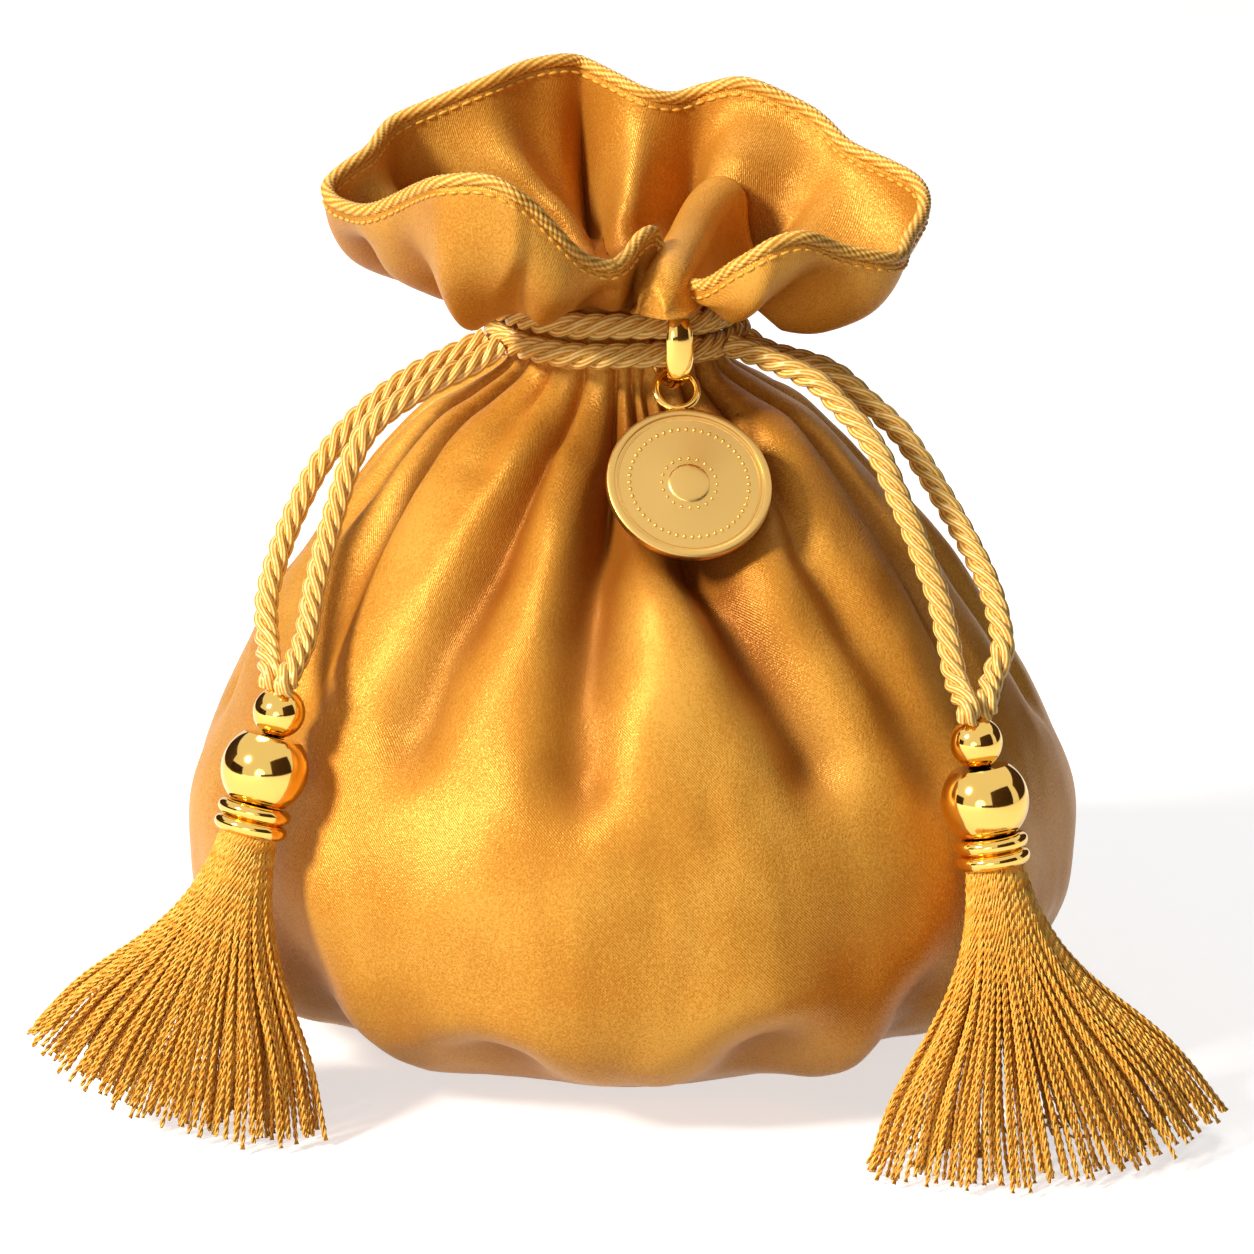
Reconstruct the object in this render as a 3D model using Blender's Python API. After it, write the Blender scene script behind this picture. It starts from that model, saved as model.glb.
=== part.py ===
# A potli bag: a satin drawstring pouch gathered at the neck, with a flared frill,
# two cords that each end in beads and a tassel, and a round charm on a bail.
# Sizes below are in millimetres. +Z is up, the bag faces -Y and rests on z = 0.
import bpy
import bmesh
from math import acos, copysign, cos, exp, hypot, pi, radians, sin, tan
from mathutils import Matrix, Vector

mm = 0.001
gap = 0.3

# pouch
body_radius = 100.3
neck_height = 158.5
neck_radius = 23.9
neck_shift = -4.0
columns = 96
cloth_thickness = 1.6
frill_radius = 69.5
frill_height = 43.0
frill_sag = 3.5
pit_depth = 12.0
piping_diameter = 3.2
piping_seat = 0.55

# swell is 0 at the neck and 1 at the widest, rise is the share of the neck's height
body_profile = [
    (0.263, 0.0), (0.36, 0.0095), (0.53, 0.0315), (0.74, 0.069), (0.90, 0.123), (0.98, 0.196),
    (1.0, 0.278), (0.987, 0.366), (0.924, 0.461), (0.826, 0.555), (0.721, 0.65), (0.603, 0.729),
    (0.486, 0.795), (0.368, 0.861), (0.25, 0.915), (0.119, 0.951), (0.034, 0.978), (0.0, 1.0),
]

# each hollow between two pleats: angle at the neck, at its middle and at its end,
# reach down the cloth from the neck, half width at its end, depth
hollows = [
    (-62, -64, -55, 84, 7, 4.2), (-43, -41, -39, 26, 3.5, 3.0), (-21, -30, -34, 101, 9, 6.5),
    (0, -4, -8, 106, 8.5, 7.5), (10, 9, 7, 44, 3.5, 3.0), (20, 18, 17, 30, 3.5, 2.0),
    (31, 23, 26, 108, 8, 8.5), (46, 40, 38, 36, 4, 2.5), (59, 41, 47, 112, 6, 4.0),
    (78, 70, 63, 88, 6, 4.2), (97, 90, 84, 104, 7, 4.5), (114, 112, 108, 70, 6, 4.0),
    (131, 132, 130, 108, 8, 6.0), (149, 151, 153, 62, 6, 4.0), (166, 169, 172, 100, 8, 6.5),
    (184, 186, 187, 78, 6, 4.0), (201, 203, 208, 110, 8, 6.0), (218, 221, 222, 60, 6, 4.0),
    (235, 236, 238, 98, 7, 5.5), (251, 253, 257, 74, 6, 4.0), (267, 269, 272, 102, 7, 4.5),
    (283, 284, 286, 56, 5, 3.5),
]

# each tuck at the foot: angle, height of its top, half width, depth
tucks = [
    (-52, 46, 9, 3.6), (-23, 24, 12, 3.0), (17, 26, 12, 2.6), (43, 38, 9, 4.0), (75, 34, 10, 3.6),
    (108, 40, 11, 4.4), (141, 30, 11, 4.4), (174, 38, 12, 4.6), (207, 28, 11, 4.2), (240, 40, 11, 4.4),
    (272, 32, 11, 3.8),
]

# the shallow seat that the charm's weight presses into the front pleats
charm_seat_angle = 17.0
charm_seat_height = 0.88
charm_seat_width = 25.0
charm_seat_depth = 10.5
charm_seat_stretch = 1.35

# the frill's rim: angle, share of the frill's radius, share of its height
rim_points = [
    (-90, 0.94, 0.51), (-80, 0.91, 0.49), (-69, 0.86, 0.53), (-58, 0.84, 0.63), (-47, 0.84, 0.73),
    (-37, 0.86, 0.81), (-27, 0.85, 0.83), (-20, 0.82, 0.74), (-14, 0.74, 0.56), (-8, 0.66, 0.39),
    (-1, 0.63, 0.35), (6, 0.59, 0.38), (13, 0.56, 0.43), (18, 0.54, 0.38), (22.5, 0.55, 0.27),
    (26.5, 0.61, 0.25), (31, 0.71, 0.35), (36, 0.80, 0.46), (44, 0.87, 0.49), (55, 0.91, 0.38),
    (66, 0.96, 0.31), (77, 0.98, 0.33), (90, 1.0, 0.42), (102, 0.97, 0.53), (119, 0.89, 0.65),
    (133, 0.86, 0.79), (146, 0.80, 0.91), (156, 0.71, 0.87), (165, 0.64, 0.83), (180, 0.72, 0.92),
    (194, 0.77, 1.0), (214, 0.80, 0.93), (234, 0.83, 0.77), (255, 0.90, 0.63),
]

# pleats that stand into the frill: angle, half width in degrees, height
frill_pleats = [
    (-62, 9, 2.5), (-31, 8, -2.0), (-12, 6, 2.6), (3, 6, -1.8), (38, 7, 2.2), (62, 9, -2.2),
    (92, 9, 2.6), (118, 9, -2.4), (140, 8, 3.0), (158, 7, -2.6), (176, 7, 2.8), (193, 7, -2.6),
    (212, 8, 3.0), (233, 8, -2.4), (254, 8, 2.4),
]

# the pleat that rolls out of the mouth over the front rim, on to the far wall: place across and
# back from the neck's axis in shares of the frill's radius, height of its middle line and of its
# foot in shares of the frill's height, half width
rolled_pleat = [
    (0.145, -0.530, 0.13, 0.085, 2.6), (0.158, -0.511, 0.17, 0.085, 4.2), (0.176, -0.460, 0.20, 0.09, 4.9),
    (0.194, -0.388, 0.213, 0.09, 5.1), (0.214, -0.230, 0.234, 0.055, 5.2), (0.239, -0.058, 0.257, 0.016, 5.2),
    (0.268, 0.129, 0.28, 0.014, 5.3), (0.299, 0.259, 0.306, 0.014, 5.5), (0.337, 0.360, 0.341, 0.01, 5.8),
    (0.383, 0.432, 0.376, 0.025, 6.2), (0.432, 0.475, 0.411, 0.07, 6.5), (0.482, 0.511, 0.446, 0.14, 6.4),
    (0.532, 0.547, 0.48, 0.26, 5.6), (0.575, 0.572, 0.51, 0.40, 3.4),
]

# the pit inside the frill: share of the neck's radius, share of the pit's depth, height of
# its pleats, share of the lift over the bail
pit_rows = [(0.92, 0.0, 0.05, 1), (0.62, 0.22, 0.16, 1), (0.3, 0.7, 0.2, 0), (0.1, 1.0, 0.0, 0)]

# cords
turn_diameter = 5.9
upper_turn_tilt = 0.8
leg_diameter = 5.4
leg_start_angles = {"left": (-73.0, -58.5), "right": (56.5, 73.0)}

# every leg's route from the neck to its bead: angle, stand-off from the body,
# share of the neck's height
leg_routes = {
    "left": [
        [(-73, 10, 1.012), (-72, 21, 0.975), (-70, 21, 0.927), (-67, 21, 0.877), (-64, 21, 0.826),
         (-61, 20.5, 0.77), (-58, 19.5, 0.713), (-54.5, 17.5, 0.66)],
        [(-59.5, 13, 1.0), (-60, 22, 0.972), (-60, 24, 0.937), (-59, 21, 0.896), (-57, 18, 0.842),
         (-55, 16, 0.79), (-52.5, 14, 0.727), (-49.5, 14, 0.668)],
    ],
    "right": [
        [(56.5, 16, 1.012), (57, 27, 0.99), (57, 28, 0.96), (56, 26.5, 0.928), (55, 25, 0.895),
         (54, 23, 0.855), (53, 22, 0.812), (52, 20.5, 0.77), (51, 19, 0.725), (49, 17.5, 0.67),
         (47, 17.5, 0.625)],
        [(73, 12, 1.004), (72.5, 24, 0.985), (72, 24, 0.945), (70.5, 22.5, 0.905), (68, 22, 0.862),
         (65, 22.5, 0.81), (62, 23.5, 0.768), (59.5, 24, 0.73), (57, 24.5, 0.695), (54, 24, 0.655),
         (51.5, 21, 0.622)],
    ],
}
leg_names = [
    ("left_back_leg", "left", 0), ("left_front_leg", "left", 1),
    ("right_front_leg", "right", 0), ("right_back_leg", "right", 1),
]

# tassels: pivot angle, stand-off and height share, lean outwards, and how the skirt fans
tassel_places = {
    "left": {
        "angle": -48.3, "standoff": 16.0, "height": 0.58, "lean": 19.0, "turn": 28.0,
        "skirt_length": 67.0, "side": (-0.33, 0.57), "out": (0.16, 0.14),
    },
    "right": {
        "angle": 45.8, "standoff": 18.0, "height": 0.549, "lean": 12.0, "turn": -27.0,
        "skirt_length": 71.0, "side": (0.11, 0.63), "out": (0.39, 0.29),
    },
}
end_bead_diameter = 11.4
end_bead_seat = 0.92
ball_diameter = 19.2
ball_height = 14.6
ferrule_diameter = 16.2
ferrule_height = 7.0
core_diameter = 4.6
skirt_top_diameter = 13.0
skirt_flutes = 16
skirt_clear = 0.6

# charm and bail
charm_diameter = 36.6
charm_thickness = 2.4
charm_rim_width = 1.7
charm_field_recess = 0.5
charm_boss_diameter = 9.0
eye_diameter = 10.9
eye_wire = 1.7
eye_to_charm = 23.4
charm_lean = 41.0
charm_turn = 10.0
bail_place_angle = 26.0
bail_turn = 19.0
bail_width = 6.4
bail_end_width = 3.4
bail_thickness = 2.0
bail_play = 0.5
bail_hang = 2.0
bail_corner = 0.65

# the parted pleats behind the bail: depth, half width in degrees, the runs down the cloth
# to which they stay full and by which they end, and how far the frill rises over the bail
bail_recess_depth = 4.6
bail_recess_width = 14.0
bail_recess_full = 7.0
bail_recess_reach = 17.0
bail_lift = 3.2

# derived places
turn_radius = neck_radius + gap + turn_diameter / 2
tilt_rise = (turn_radius + turn_diameter / 2) * tan(radians(upper_turn_tilt))
lower_turn_height = neck_height + 2 * gap + turn_diameter / 2
upper_turn_height = lower_turn_height + turn_diameter + gap + tilt_rise
frill_base = upper_turn_height + turn_diameter / 2 + tilt_rise + gap
neck_axis = Vector((neck_shift, 0, 0))

gold_satin = (0.70, 0.30, 0.035, 1)
gold_cord = (0.66, 0.31, 0.05, 1)
gold_thread = (0.74, 0.36, 0.06, 1)
polished_gold = (0.86, 0.56, 0.16, 1)
brushed_gold = (0.84, 0.62, 0.28, 1)


def clear_scene():
    for thing in list(bpy.data.objects):
        bpy.data.objects.remove(thing, do_unlink=True)


def finish_material(name, colour, roughness, metallic):
    material = bpy.data.materials.new(name)
    material.use_nodes = True
    shader = material.node_tree.nodes["Principled BSDF"]
    shader.inputs["Base Color"].default_value = colour
    shader.inputs["Roughness"].default_value = roughness
    shader.inputs["Metallic"].default_value = metallic
    material.diffuse_color = colour
    return material


def add_object(name, mesh, material, origin=Vector()):
    """Adds a mesh made in world millimetres, with its origin at the given world point."""
    mesh.transform(Matrix.Translation(-origin))
    mesh.transform(Matrix.Scale(mm, 4))
    mesh.materials.append(material)
    thing = bpy.data.objects.new(name, mesh)
    thing.location = origin * mm
    bpy.context.collection.objects.link(thing)
    return thing


def mesh_from(name, points, faces):
    mesh = bpy.data.meshes.new(name)
    mesh.from_pydata([tuple(p) for p in points], [], faces)
    solid = bmesh.new()
    solid.from_mesh(mesh)
    bmesh.ops.recalc_face_normals(solid, faces=solid.faces)
    if solid.calc_volume(signed=True) < 0:
        bmesh.ops.reverse_faces(solid, faces=solid.faces)
    solid.to_mesh(mesh)
    solid.free()
    return mesh


def skin_rings(rings, closed_loop=False):
    """Faces that join equal rings, with a flat cap at each end or the last ring tied to the first."""
    count = len(rings[0])
    points = [p for ring in rings for p in ring]
    pairs = list(zip(range(len(rings) - 1), range(1, len(rings))))
    if closed_loop:
        pairs.append((len(rings) - 1, 0))
    faces = []
    for a, b in pairs:
        for j in range(count):
            k = (j + 1) % count
            faces.append((a * count + j, a * count + k, b * count + k, b * count + j))
    if not closed_loop:
        faces.append(tuple(range(count)))
        faces.append(tuple((len(rings) - 1) * count + j for j in range(count)))
    return points, faces


def smooth_step(t):
    t = min(max(t, 0.0), 1.0)
    return t * t * (3 - 2 * t)


def catmull(p0, p1, p2, p3, t):
    return 0.5 * (2 * p1 + (p2 - p0) * t + (2 * p0 - 5 * p1 + 4 * p2 - p3) * t**2
                  + (3 * p1 - p0 - 3 * p2 + p3) * t**3)


def angle_between(a, b):
    return (a - b + 180) % 360 - 180


def direction(angle):
    """The horizontal unit vector at this angle, 0 at the front and positive towards +X."""
    return Vector((sin(radians(angle)), -cos(radians(angle)), 0))


def tangent(angle):
    return Vector((cos(radians(angle)), sin(radians(angle)), 0))


def profile_places():
    """The body's profile as (radius, height) from the foot to the neck."""
    widest = body_radius - neck_radius
    return [(neck_radius + widest * swell, neck_height * rise) for swell, rise in body_profile]


def body_radius_at(height):
    places = profile_places()
    if height >= places[-1][1]:
        return places[-1][0]
    for (r0, z0), (r1, z1) in zip(places, places[1:]):
        if z0 <= height <= z1:
            return r0 + (r1 - r0) * (height - z0) / (z1 - z0)
    return places[0][0]


def lean_at(height):
    """The body's axis moves sideways from the foot to the neck."""
    return neck_axis * smooth_step((height / neck_height - 0.3) / 0.6)


def hollow_depth(angle, radius, run):
    """How far the hollows sink the cloth, run millimetres down from the neck."""
    depth = 0.0
    for start, middle, end, reach, width, deep in hollows:
        t = min(run / reach, 1.0)
        line = start + (middle - start) * min(t * 2, 1) + (end - middle) * max(t * 2 - 1, 0)
        half = 2.0 + (width - 2.0) * smooth_step(t * 1.15)
        across = radians(angle_between(angle, line)) * radius / half
        beyond = max(run - reach, 0) / (0.9 * width)
        span = hypot(across, beyond)
        strength = 1.3 + (deep - 1.3) * smooth_step(t * 2.6)
        depth += strength * exp(-span * span)
        depth -= 0.28 * strength * smooth_step(t * 1.6) * exp(-((span - 1.9) / 0.75) ** 2)
    return depth


def tuck_depth(angle, radius, height):
    depth = 0.0
    foot_fade = smooth_step(height / 11)
    for line, top, width, deep in tucks:
        across = radians(angle_between(angle, line)) * radius / width
        span = hypot(across, max(height - 0.55 * top, 0) / (0.3 * top))
        depth += deep * foot_fade * exp(-span * span)
        depth -= 0.15 * deep * foot_fade * exp(-((span - 1.8) / 0.7) ** 2)
    return depth


def seat_depth(angle, radius, height):
    across = radians(angle_between(angle, charm_seat_angle)) * radius
    along = (height - charm_seat_height * neck_height) * charm_seat_stretch
    return charm_seat_depth * exp(-((across**2 + along**2) / charm_seat_width**2) ** 1.5)


def bail_recess(angle, run=0.0):
    """The pleats part behind the bail, so its back bar passes inside the cords."""
    fade = smooth_step((bail_recess_reach - run) / (bail_recess_reach - bail_recess_full))
    return bail_recess_depth * fade * beside_bail(angle)


def beside_bail(angle):
    """1 at the bail's angle, falling to 0 on both sides of it."""
    return exp(-(angle_between(angle, bail_place_angle) / bail_recess_width) ** 4)


def place_beside(angle, standoff, share):
    """A point outside the body, at a share of the neck's height."""
    height = share * neck_height
    radius = body_radius_at(height) + standoff
    return lean_at(height) + direction(angle) * radius + Vector((0, 0, height))


def body_rows():
    """Rings of points up the outside of the body, from the foot to the top of the neck."""
    places = profile_places()
    runs = [0.0]
    for (r0, z0), (r1, z1) in zip(places[::-1], places[-2::-1]):
        runs.append(runs[-1] + hypot(r1 - r0, z1 - z0))
    runs.reverse()
    rows = []
    for i, (radius, height) in enumerate(places):
        r0, z0 = places[max(i - 1, 0)]
        r1, z1 = places[min(i + 1, len(places) - 1)]
        slope = Vector((z1 - z0, -(r1 - r0))).normalized()
        row = []
        for j in range(columns):
            angle = 360 * j / columns
            sink = 0.0
            if i > 0:
                sink = hollow_depth(angle, radius, runs[i]) + tuck_depth(angle, radius, height)
                sink += seat_depth(angle, radius, height)
                sink = max(sink, -3.0)
            if runs[i] < bail_recess_reach:
                sink = max(sink, bail_recess(angle, runs[i]), 0.0)
            out = radius - sink * slope.x
            up = max(height - sink * slope.y, 0.6 if i > 0 else 0.0)
            row.append(lean_at(height) + direction(angle) * out + Vector((0, 0, up)))
        rows.append(row)
    top = []
    for j in range(columns):
        angle = 360 * j / columns
        sink = max(hollow_depth(angle, neck_radius, 0.0), bail_recess(angle), 0.0)
        out = direction(angle) * (neck_radius - sink)
        top.append(neck_axis + out + Vector((0, 0, upper_turn_height)))
    rows.append(top)
    return rows


def rim_at(angle):
    """The rim's radius from the neck's axis and its height above the frill's base."""
    count = len(rim_points)
    turn = (angle + 90) % 360 - 90
    for i in range(count):
        a1 = rim_points[i][0]
        a2 = rim_points[(i + 1) % count][0] + (360 if i == count - 1 else 0)
        if a1 <= turn < a2:
            t = (turn - a1) / (a2 - a1)
            around = [rim_points[(i + k) % count] for k in (-1, 0, 1, 2)]
            share = catmull(*[p[1] for p in around], t)
            rise = catmull(*[p[2] for p in around], t)
            return frill_radius * share, frill_height * rise
    return frill_radius * rim_points[0][1], frill_height * rim_points[0][2]


def frill_point(angle, s):
    """A point on the outside of the frill, s running from 0 at the neck to 1 at the rim."""
    rim_radius, rim_rise = rim_at(angle)
    turn = s * pi / 2
    radius = neck_radius + (rim_radius - neck_radius) * sin(turn)
    height = frill_base + (rim_rise - piping_diameter * 0.8) * (1 - cos(turn)) ** 1.15
    clear = smooth_step((radius - turn_radius - turn_diameter) / 8)
    height -= frill_sag * clear * (1 - s) * 1.8
    height += bail_lift * beside_bail(angle) * (1 - s)
    wave = 0.0
    for line, width, rise in frill_pleats:
        wave += rise * exp(-(angle_between(angle, line) / width) ** 2)
    height += wave * clear * sin(pi * s) * 0.8
    radius -= wave * clear * sin(pi * s) * 0.6
    return neck_axis + direction(angle) * radius + Vector((0, 0, height))


def frill_frame(angle, s):
    """The unit vectors up the cloth and out of its inner side."""
    step = 0.04
    up = frill_point(angle, min(s + step, 1.0)) - frill_point(angle, s - step)
    around = frill_point(angle + 1.5, s) - frill_point(angle - 1.5, s)
    up.normalize()
    return up, up.cross(around).normalized()


frill_steps = [0.12, 0.26, 0.42, 0.58, 0.74, 0.88, 1.0]


def frill_rows():
    """Rings up the outside of the frill, over its rim, down its inside and into the neck's pit."""
    angles = [360 * j / columns for j in range(columns)]
    base = []
    for a in angles:
        lifted = Vector((0, 0, frill_base + bail_lift * beside_bail(a)))
        base.append(neck_axis + direction(a) * (neck_radius - bail_recess(a)) + lifted)
    rows = [base]
    for s in frill_steps:
        rows.append([frill_point(a, s) for a in angles])
    for s in frill_steps[::-1]:
        rows.append([frill_point(a, s) + frill_frame(a, s)[1] * cloth_thickness for a in angles])
    floor = frill_base + cloth_thickness
    for share, depth, pleat, lift in pit_rows:
        row = []
        for a in angles:
            radius = (neck_radius - bail_recess(a)) * share * (1 + pleat * cos(radians(a * 13)))
            height = floor - pit_depth * depth + bail_lift * lift * beside_bail(a)
            row.append(neck_axis + direction(a) * radius + Vector((0, 0, height)))
        rows.append(row)
    return rows


def make_pouch():
    """One closed skin: foot, body, neck, outside of the frill, rim, inside of the frill and pit.
    The rolled pleat joins it, and the piping's way through that pleat is cut clear."""
    points, faces = skin_rings(body_rows() + frill_rows())
    satin = finish_material("satin", gold_satin, 0.42, 0.35)
    pouch = add_object("pouch", mesh_from("pouch", points, faces), satin)
    pleat = add_object("rolled_pleat_tool", pleat_mesh(), satin)
    way = add_object("piping_way_tool", piping_mesh("piping_way", piping_diameter / 2 + gap), satin)
    for tool, operation in ((pleat, "UNION"), (way, "DIFFERENCE")):
        tool.hide_render = True
        tool.display_type = "WIRE"
        step = pouch.modifiers.new(tool.name, "BOOLEAN")
        step.operation = operation
        step.solver = "EXACT"
        step.object = tool


def pleat_mesh():
    """The rolled pleat: upright arches along its line, each round above and straight to its foot."""
    places = []
    for across, back, middle, foot, half in rolled_pleat:
        line = neck_axis + Vector((across, back, 0)) * frill_radius
        places.append((line, frill_base + frill_height * middle, frill_base + frill_height * foot, half))
    rings = []
    for i, (place, middle, foot, half) in enumerate(places):
        along = (places[min(i + 1, len(places) - 1)][0] - places[max(i - 1, 0)][0]).normalized()
        side = Vector((along.y, -along.x, 0))
        ring = [place - side * half + Vector((0, 0, foot)), place + side * half + Vector((0, 0, foot))]
        for a in (pi * k / 6 for k in range(7)):
            ring.append(place + side * half * cos(a) + Vector((0, 0, middle + half * sin(a))))
        rings.append(ring)
    points, faces = skin_rings(rings)
    return mesh_from("rolled_pleat", points, faces)


def piping_mesh(name, radius):
    """A round cord of this radius along the piping's line, just above the cloth's edge."""
    edge, frames = [], []
    for j in range(columns):
        angle = 360 * j / columns
        up, inward = frill_frame(angle, 1.0)
        edge.append(frill_point(angle, 1.0) + inward * cloth_thickness / 2)
        frames.append((up, inward))
    turns = [2 * pi * k / 6 for k in range(6)]
    rings = []
    for j, (up, inward) in enumerate(frames):
        along = (edge[(j + 1) % columns] - edge[j - 1]).normalized()
        side = (inward - along * inward.dot(along)).normalized()
        top = (up - along * up.dot(along) - side * up.dot(side)).normalized()
        centre = edge[j] + top * (piping_diameter / 2 + piping_seat)
        rings.append([centre + radius * (top * cos(a) + side * sin(a)) for a in turns])
    points, faces = skin_rings(rings, closed_loop=True)
    return mesh_from(name, points, faces)


def make_piping():
    """The bound edge: a round cord all round the rim."""
    bound = finish_material("piping", gold_cord, 0.45, 0.3)
    add_object("rim_piping", piping_mesh("rim_piping", piping_diameter / 2), bound)


def make_neck_turn(name, height, tilt):
    """One cord's turn round the gathered neck, as a closed ring."""
    bpy.ops.mesh.primitive_torus_add(
        major_segments=36, minor_segments=8,
        major_radius=turn_radius * mm, minor_radius=turn_diameter / 2 * mm,
        location=(neck_axis + Vector((0, 0, height))) * mm, rotation=(0, radians(tilt), 0))
    turn = bpy.context.object
    turn.name = name
    turn.data.materials.append(finish_material(name, gold_cord, 0.5, 0.2))


def route_points(side, which):
    """A leg's own points: out of the neck turn, down its route and into the top of its bead."""
    start_angle = leg_start_angles[side][which]
    start = neck_axis + direction(start_angle) * (turn_radius + turn_diameter / 2 + gap)
    points = [start + Vector((0, 0, lower_turn_height))]
    for angle, standoff, share in leg_routes[side][which]:
        points.append(place_beside(angle, standoff, share))
    end = pivot_of(side) + leg_side(side, which) * (leg_diameter + gap) / 2
    points.append(end + Vector((0, 0, end_bead_diameter / 2 + 2.5)))
    points.append(end + Vector((0, 0, end_bead_diameter / 2 + gap)))
    return points


def leg_side(side, which):
    """The direction from the bead's middle to this leg: the two legs enter side by side."""
    return tangent(tassel_places[side]["angle"]) * (1 if which == 1 else -1)


def make_leg(name, side, which):
    """A plain tube along the part of the cord that hangs free."""
    line = route_points(side, which)
    curve = bpy.data.curves.new(name, "CURVE")
    curve.dimensions = "3D"
    spline = curve.splines.new("POLY")
    spline.points.add(len(line) - 1)
    for place, point in zip(spline.points, line):
        place.co = (*(point * mm), 1)
    curve.bevel_depth = leg_diameter / 2 * mm
    curve.bevel_resolution = 2
    curve.use_fill_caps = True
    curve.materials.append(finish_material(name, gold_cord, 0.5, 0.2))
    leg = bpy.data.objects.new(name, curve)
    bpy.context.collection.objects.link(leg)


def pivot_of(side):
    """The middle of the end bead, which the tassel swings about."""
    place = tassel_places[side]
    return place_beside(place["angle"], place["standoff"], place["height"])


def stack_axis(side):
    """The unit vector down the beads, leaning out from the bag."""
    place = tassel_places[side]
    lean = radians(place["lean"])
    return direction(place["angle"]) * sin(lean) - Vector((0, 0, cos(lean)))


def turned_mesh(name, profile, origin, axis, segments):
    """A solid of revolution from (radius, distance) pairs that start and end on the axis."""
    side = axis.orthogonal().normalized()
    other = axis.cross(side)
    rings = []
    for radius, along in profile[1:-1]:
        rings.append([origin + axis * along + radius * (side * cos(a) + other * sin(a))
                      for a in (2 * pi * k / segments for k in range(segments))])
    points, faces = skin_rings(rings)
    faces = faces[:-2]
    points += [origin + axis * profile[0][1], origin + axis * profile[-1][1]]
    first, last = len(points) - 2, len(points) - 1
    base = (len(rings) - 1) * segments
    for k in range(segments):
        n = (k + 1) % segments
        faces.append((first, n, k))
        faces.append((last, base + k, base + n))
    return mesh_from(name, points, faces)


def bored_mesh(name, outline, origin, axis, segments):
    """A solid of revolution from a closed outline of (radius, distance) pairs off the axis."""
    side = axis.orthogonal().normalized()
    other = axis.cross(side)
    rings = []
    for k in range(segments):
        a = 2 * pi * k / segments
        spoke = side * cos(a) + other * sin(a)
        rings.append([origin + axis * along + spoke * radius for radius, along in outline])
    points, faces = skin_rings(rings, closed_loop=True)
    return mesh_from(name, points, faces)


def bead_outline(diameter, height, bore, steps):
    """A bored bead's section: a round outside with small flat collars, and a straight bore."""
    radius, half = diameter / 2, height / 2
    start = acos(min((half - 0.01) / radius, 1.0)) if half < radius else radians(20)
    outline = [(radius * sin(a), -radius * cos(a)) for a in
               (start + (pi - 2 * start) * k / steps for k in range(steps + 1))]
    return outline + [(bore / 2, outline[-1][1]), (bore / 2, outline[0][1])]


def ferrule_outline():
    """Two round ribs side by side, on a straight bore."""
    bore = core_diameter / 2 + gap
    half = ferrule_height / 2
    outer = ferrule_diameter / 2
    rib = half / 2
    outline = [(bore, -half), (outer - rib, -half)]
    for middle in (-rib, rib):
        turns = (-0.9, -0.3, 0.3, 0.9)
        outline += [(outer - rib + rib * cos(a), middle + rib * sin(a)) for a in turns]
        if middle < 0:
            outline.append((outer - rib * 0.75, 0))
    return outline + [(outer - rib, half), (bore, half)]


def make_tassel(side):
    """The bead stack and its skirt, built down the stack's axis from the swing pivot."""
    pivot, axis = pivot_of(side), stack_axis(side)
    bore = core_diameter + 2 * gap
    bead_radius = end_bead_diameter / 2
    seat = bead_radius * end_bead_seat
    ball_place = seat + gap + ball_height / 2
    ferrule_place = ball_place + ball_height / 2 + gap + ferrule_height / 2
    skirt_place = ferrule_place + ferrule_height / 2 + gap
    turned = [(0, -bead_radius)]
    turned += [(bead_radius * sin(a), -bead_radius * cos(a)) for a in (pi * k / 8 for k in range(1, 7))]
    turned += [(bead_radius * 0.38, seat), (0, seat)]
    gold = finish_material(side + "_gold", polished_gold, 0.12, 1.0)
    add_object(side + "_end_bead", turned_mesh(side + "_end_bead", turned, pivot, axis, 16), gold, pivot)
    ball = bored_mesh(side + "_ball_bead", bead_outline(ball_diameter, ball_height, bore, 7),
                      pivot + axis * ball_place, axis, 18)
    add_object(side + "_ball_bead", ball, finish_material(side + "_ball_gold", polished_gold, 0.1, 1.0),
               pivot + axis * ball_place)
    ferrule = bored_mesh(side + "_ferrule", ferrule_outline(), pivot + axis * ferrule_place, axis, 18)
    ribbed_gold = finish_material(side + "_ferrule_gold", polished_gold, 0.14, 1.0)
    add_object(side + "_ferrule", ferrule, ribbed_gold, pivot)
    core_top = seat + gap
    core_end = skirt_place - gap
    thick = core_diameter / 2
    core = [(0, core_top), (thick, core_top), (thick, core_end), (0, core_end)]
    add_object(side + "_tassel_core", turned_mesh(side + "_tassel_core", core, pivot, axis, 10),
               finish_material(side + "_core", gold_cord, 0.6, 0.1), pivot)
    make_skirt(side, pivot + axis * skirt_place, axis, pivot)


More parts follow.
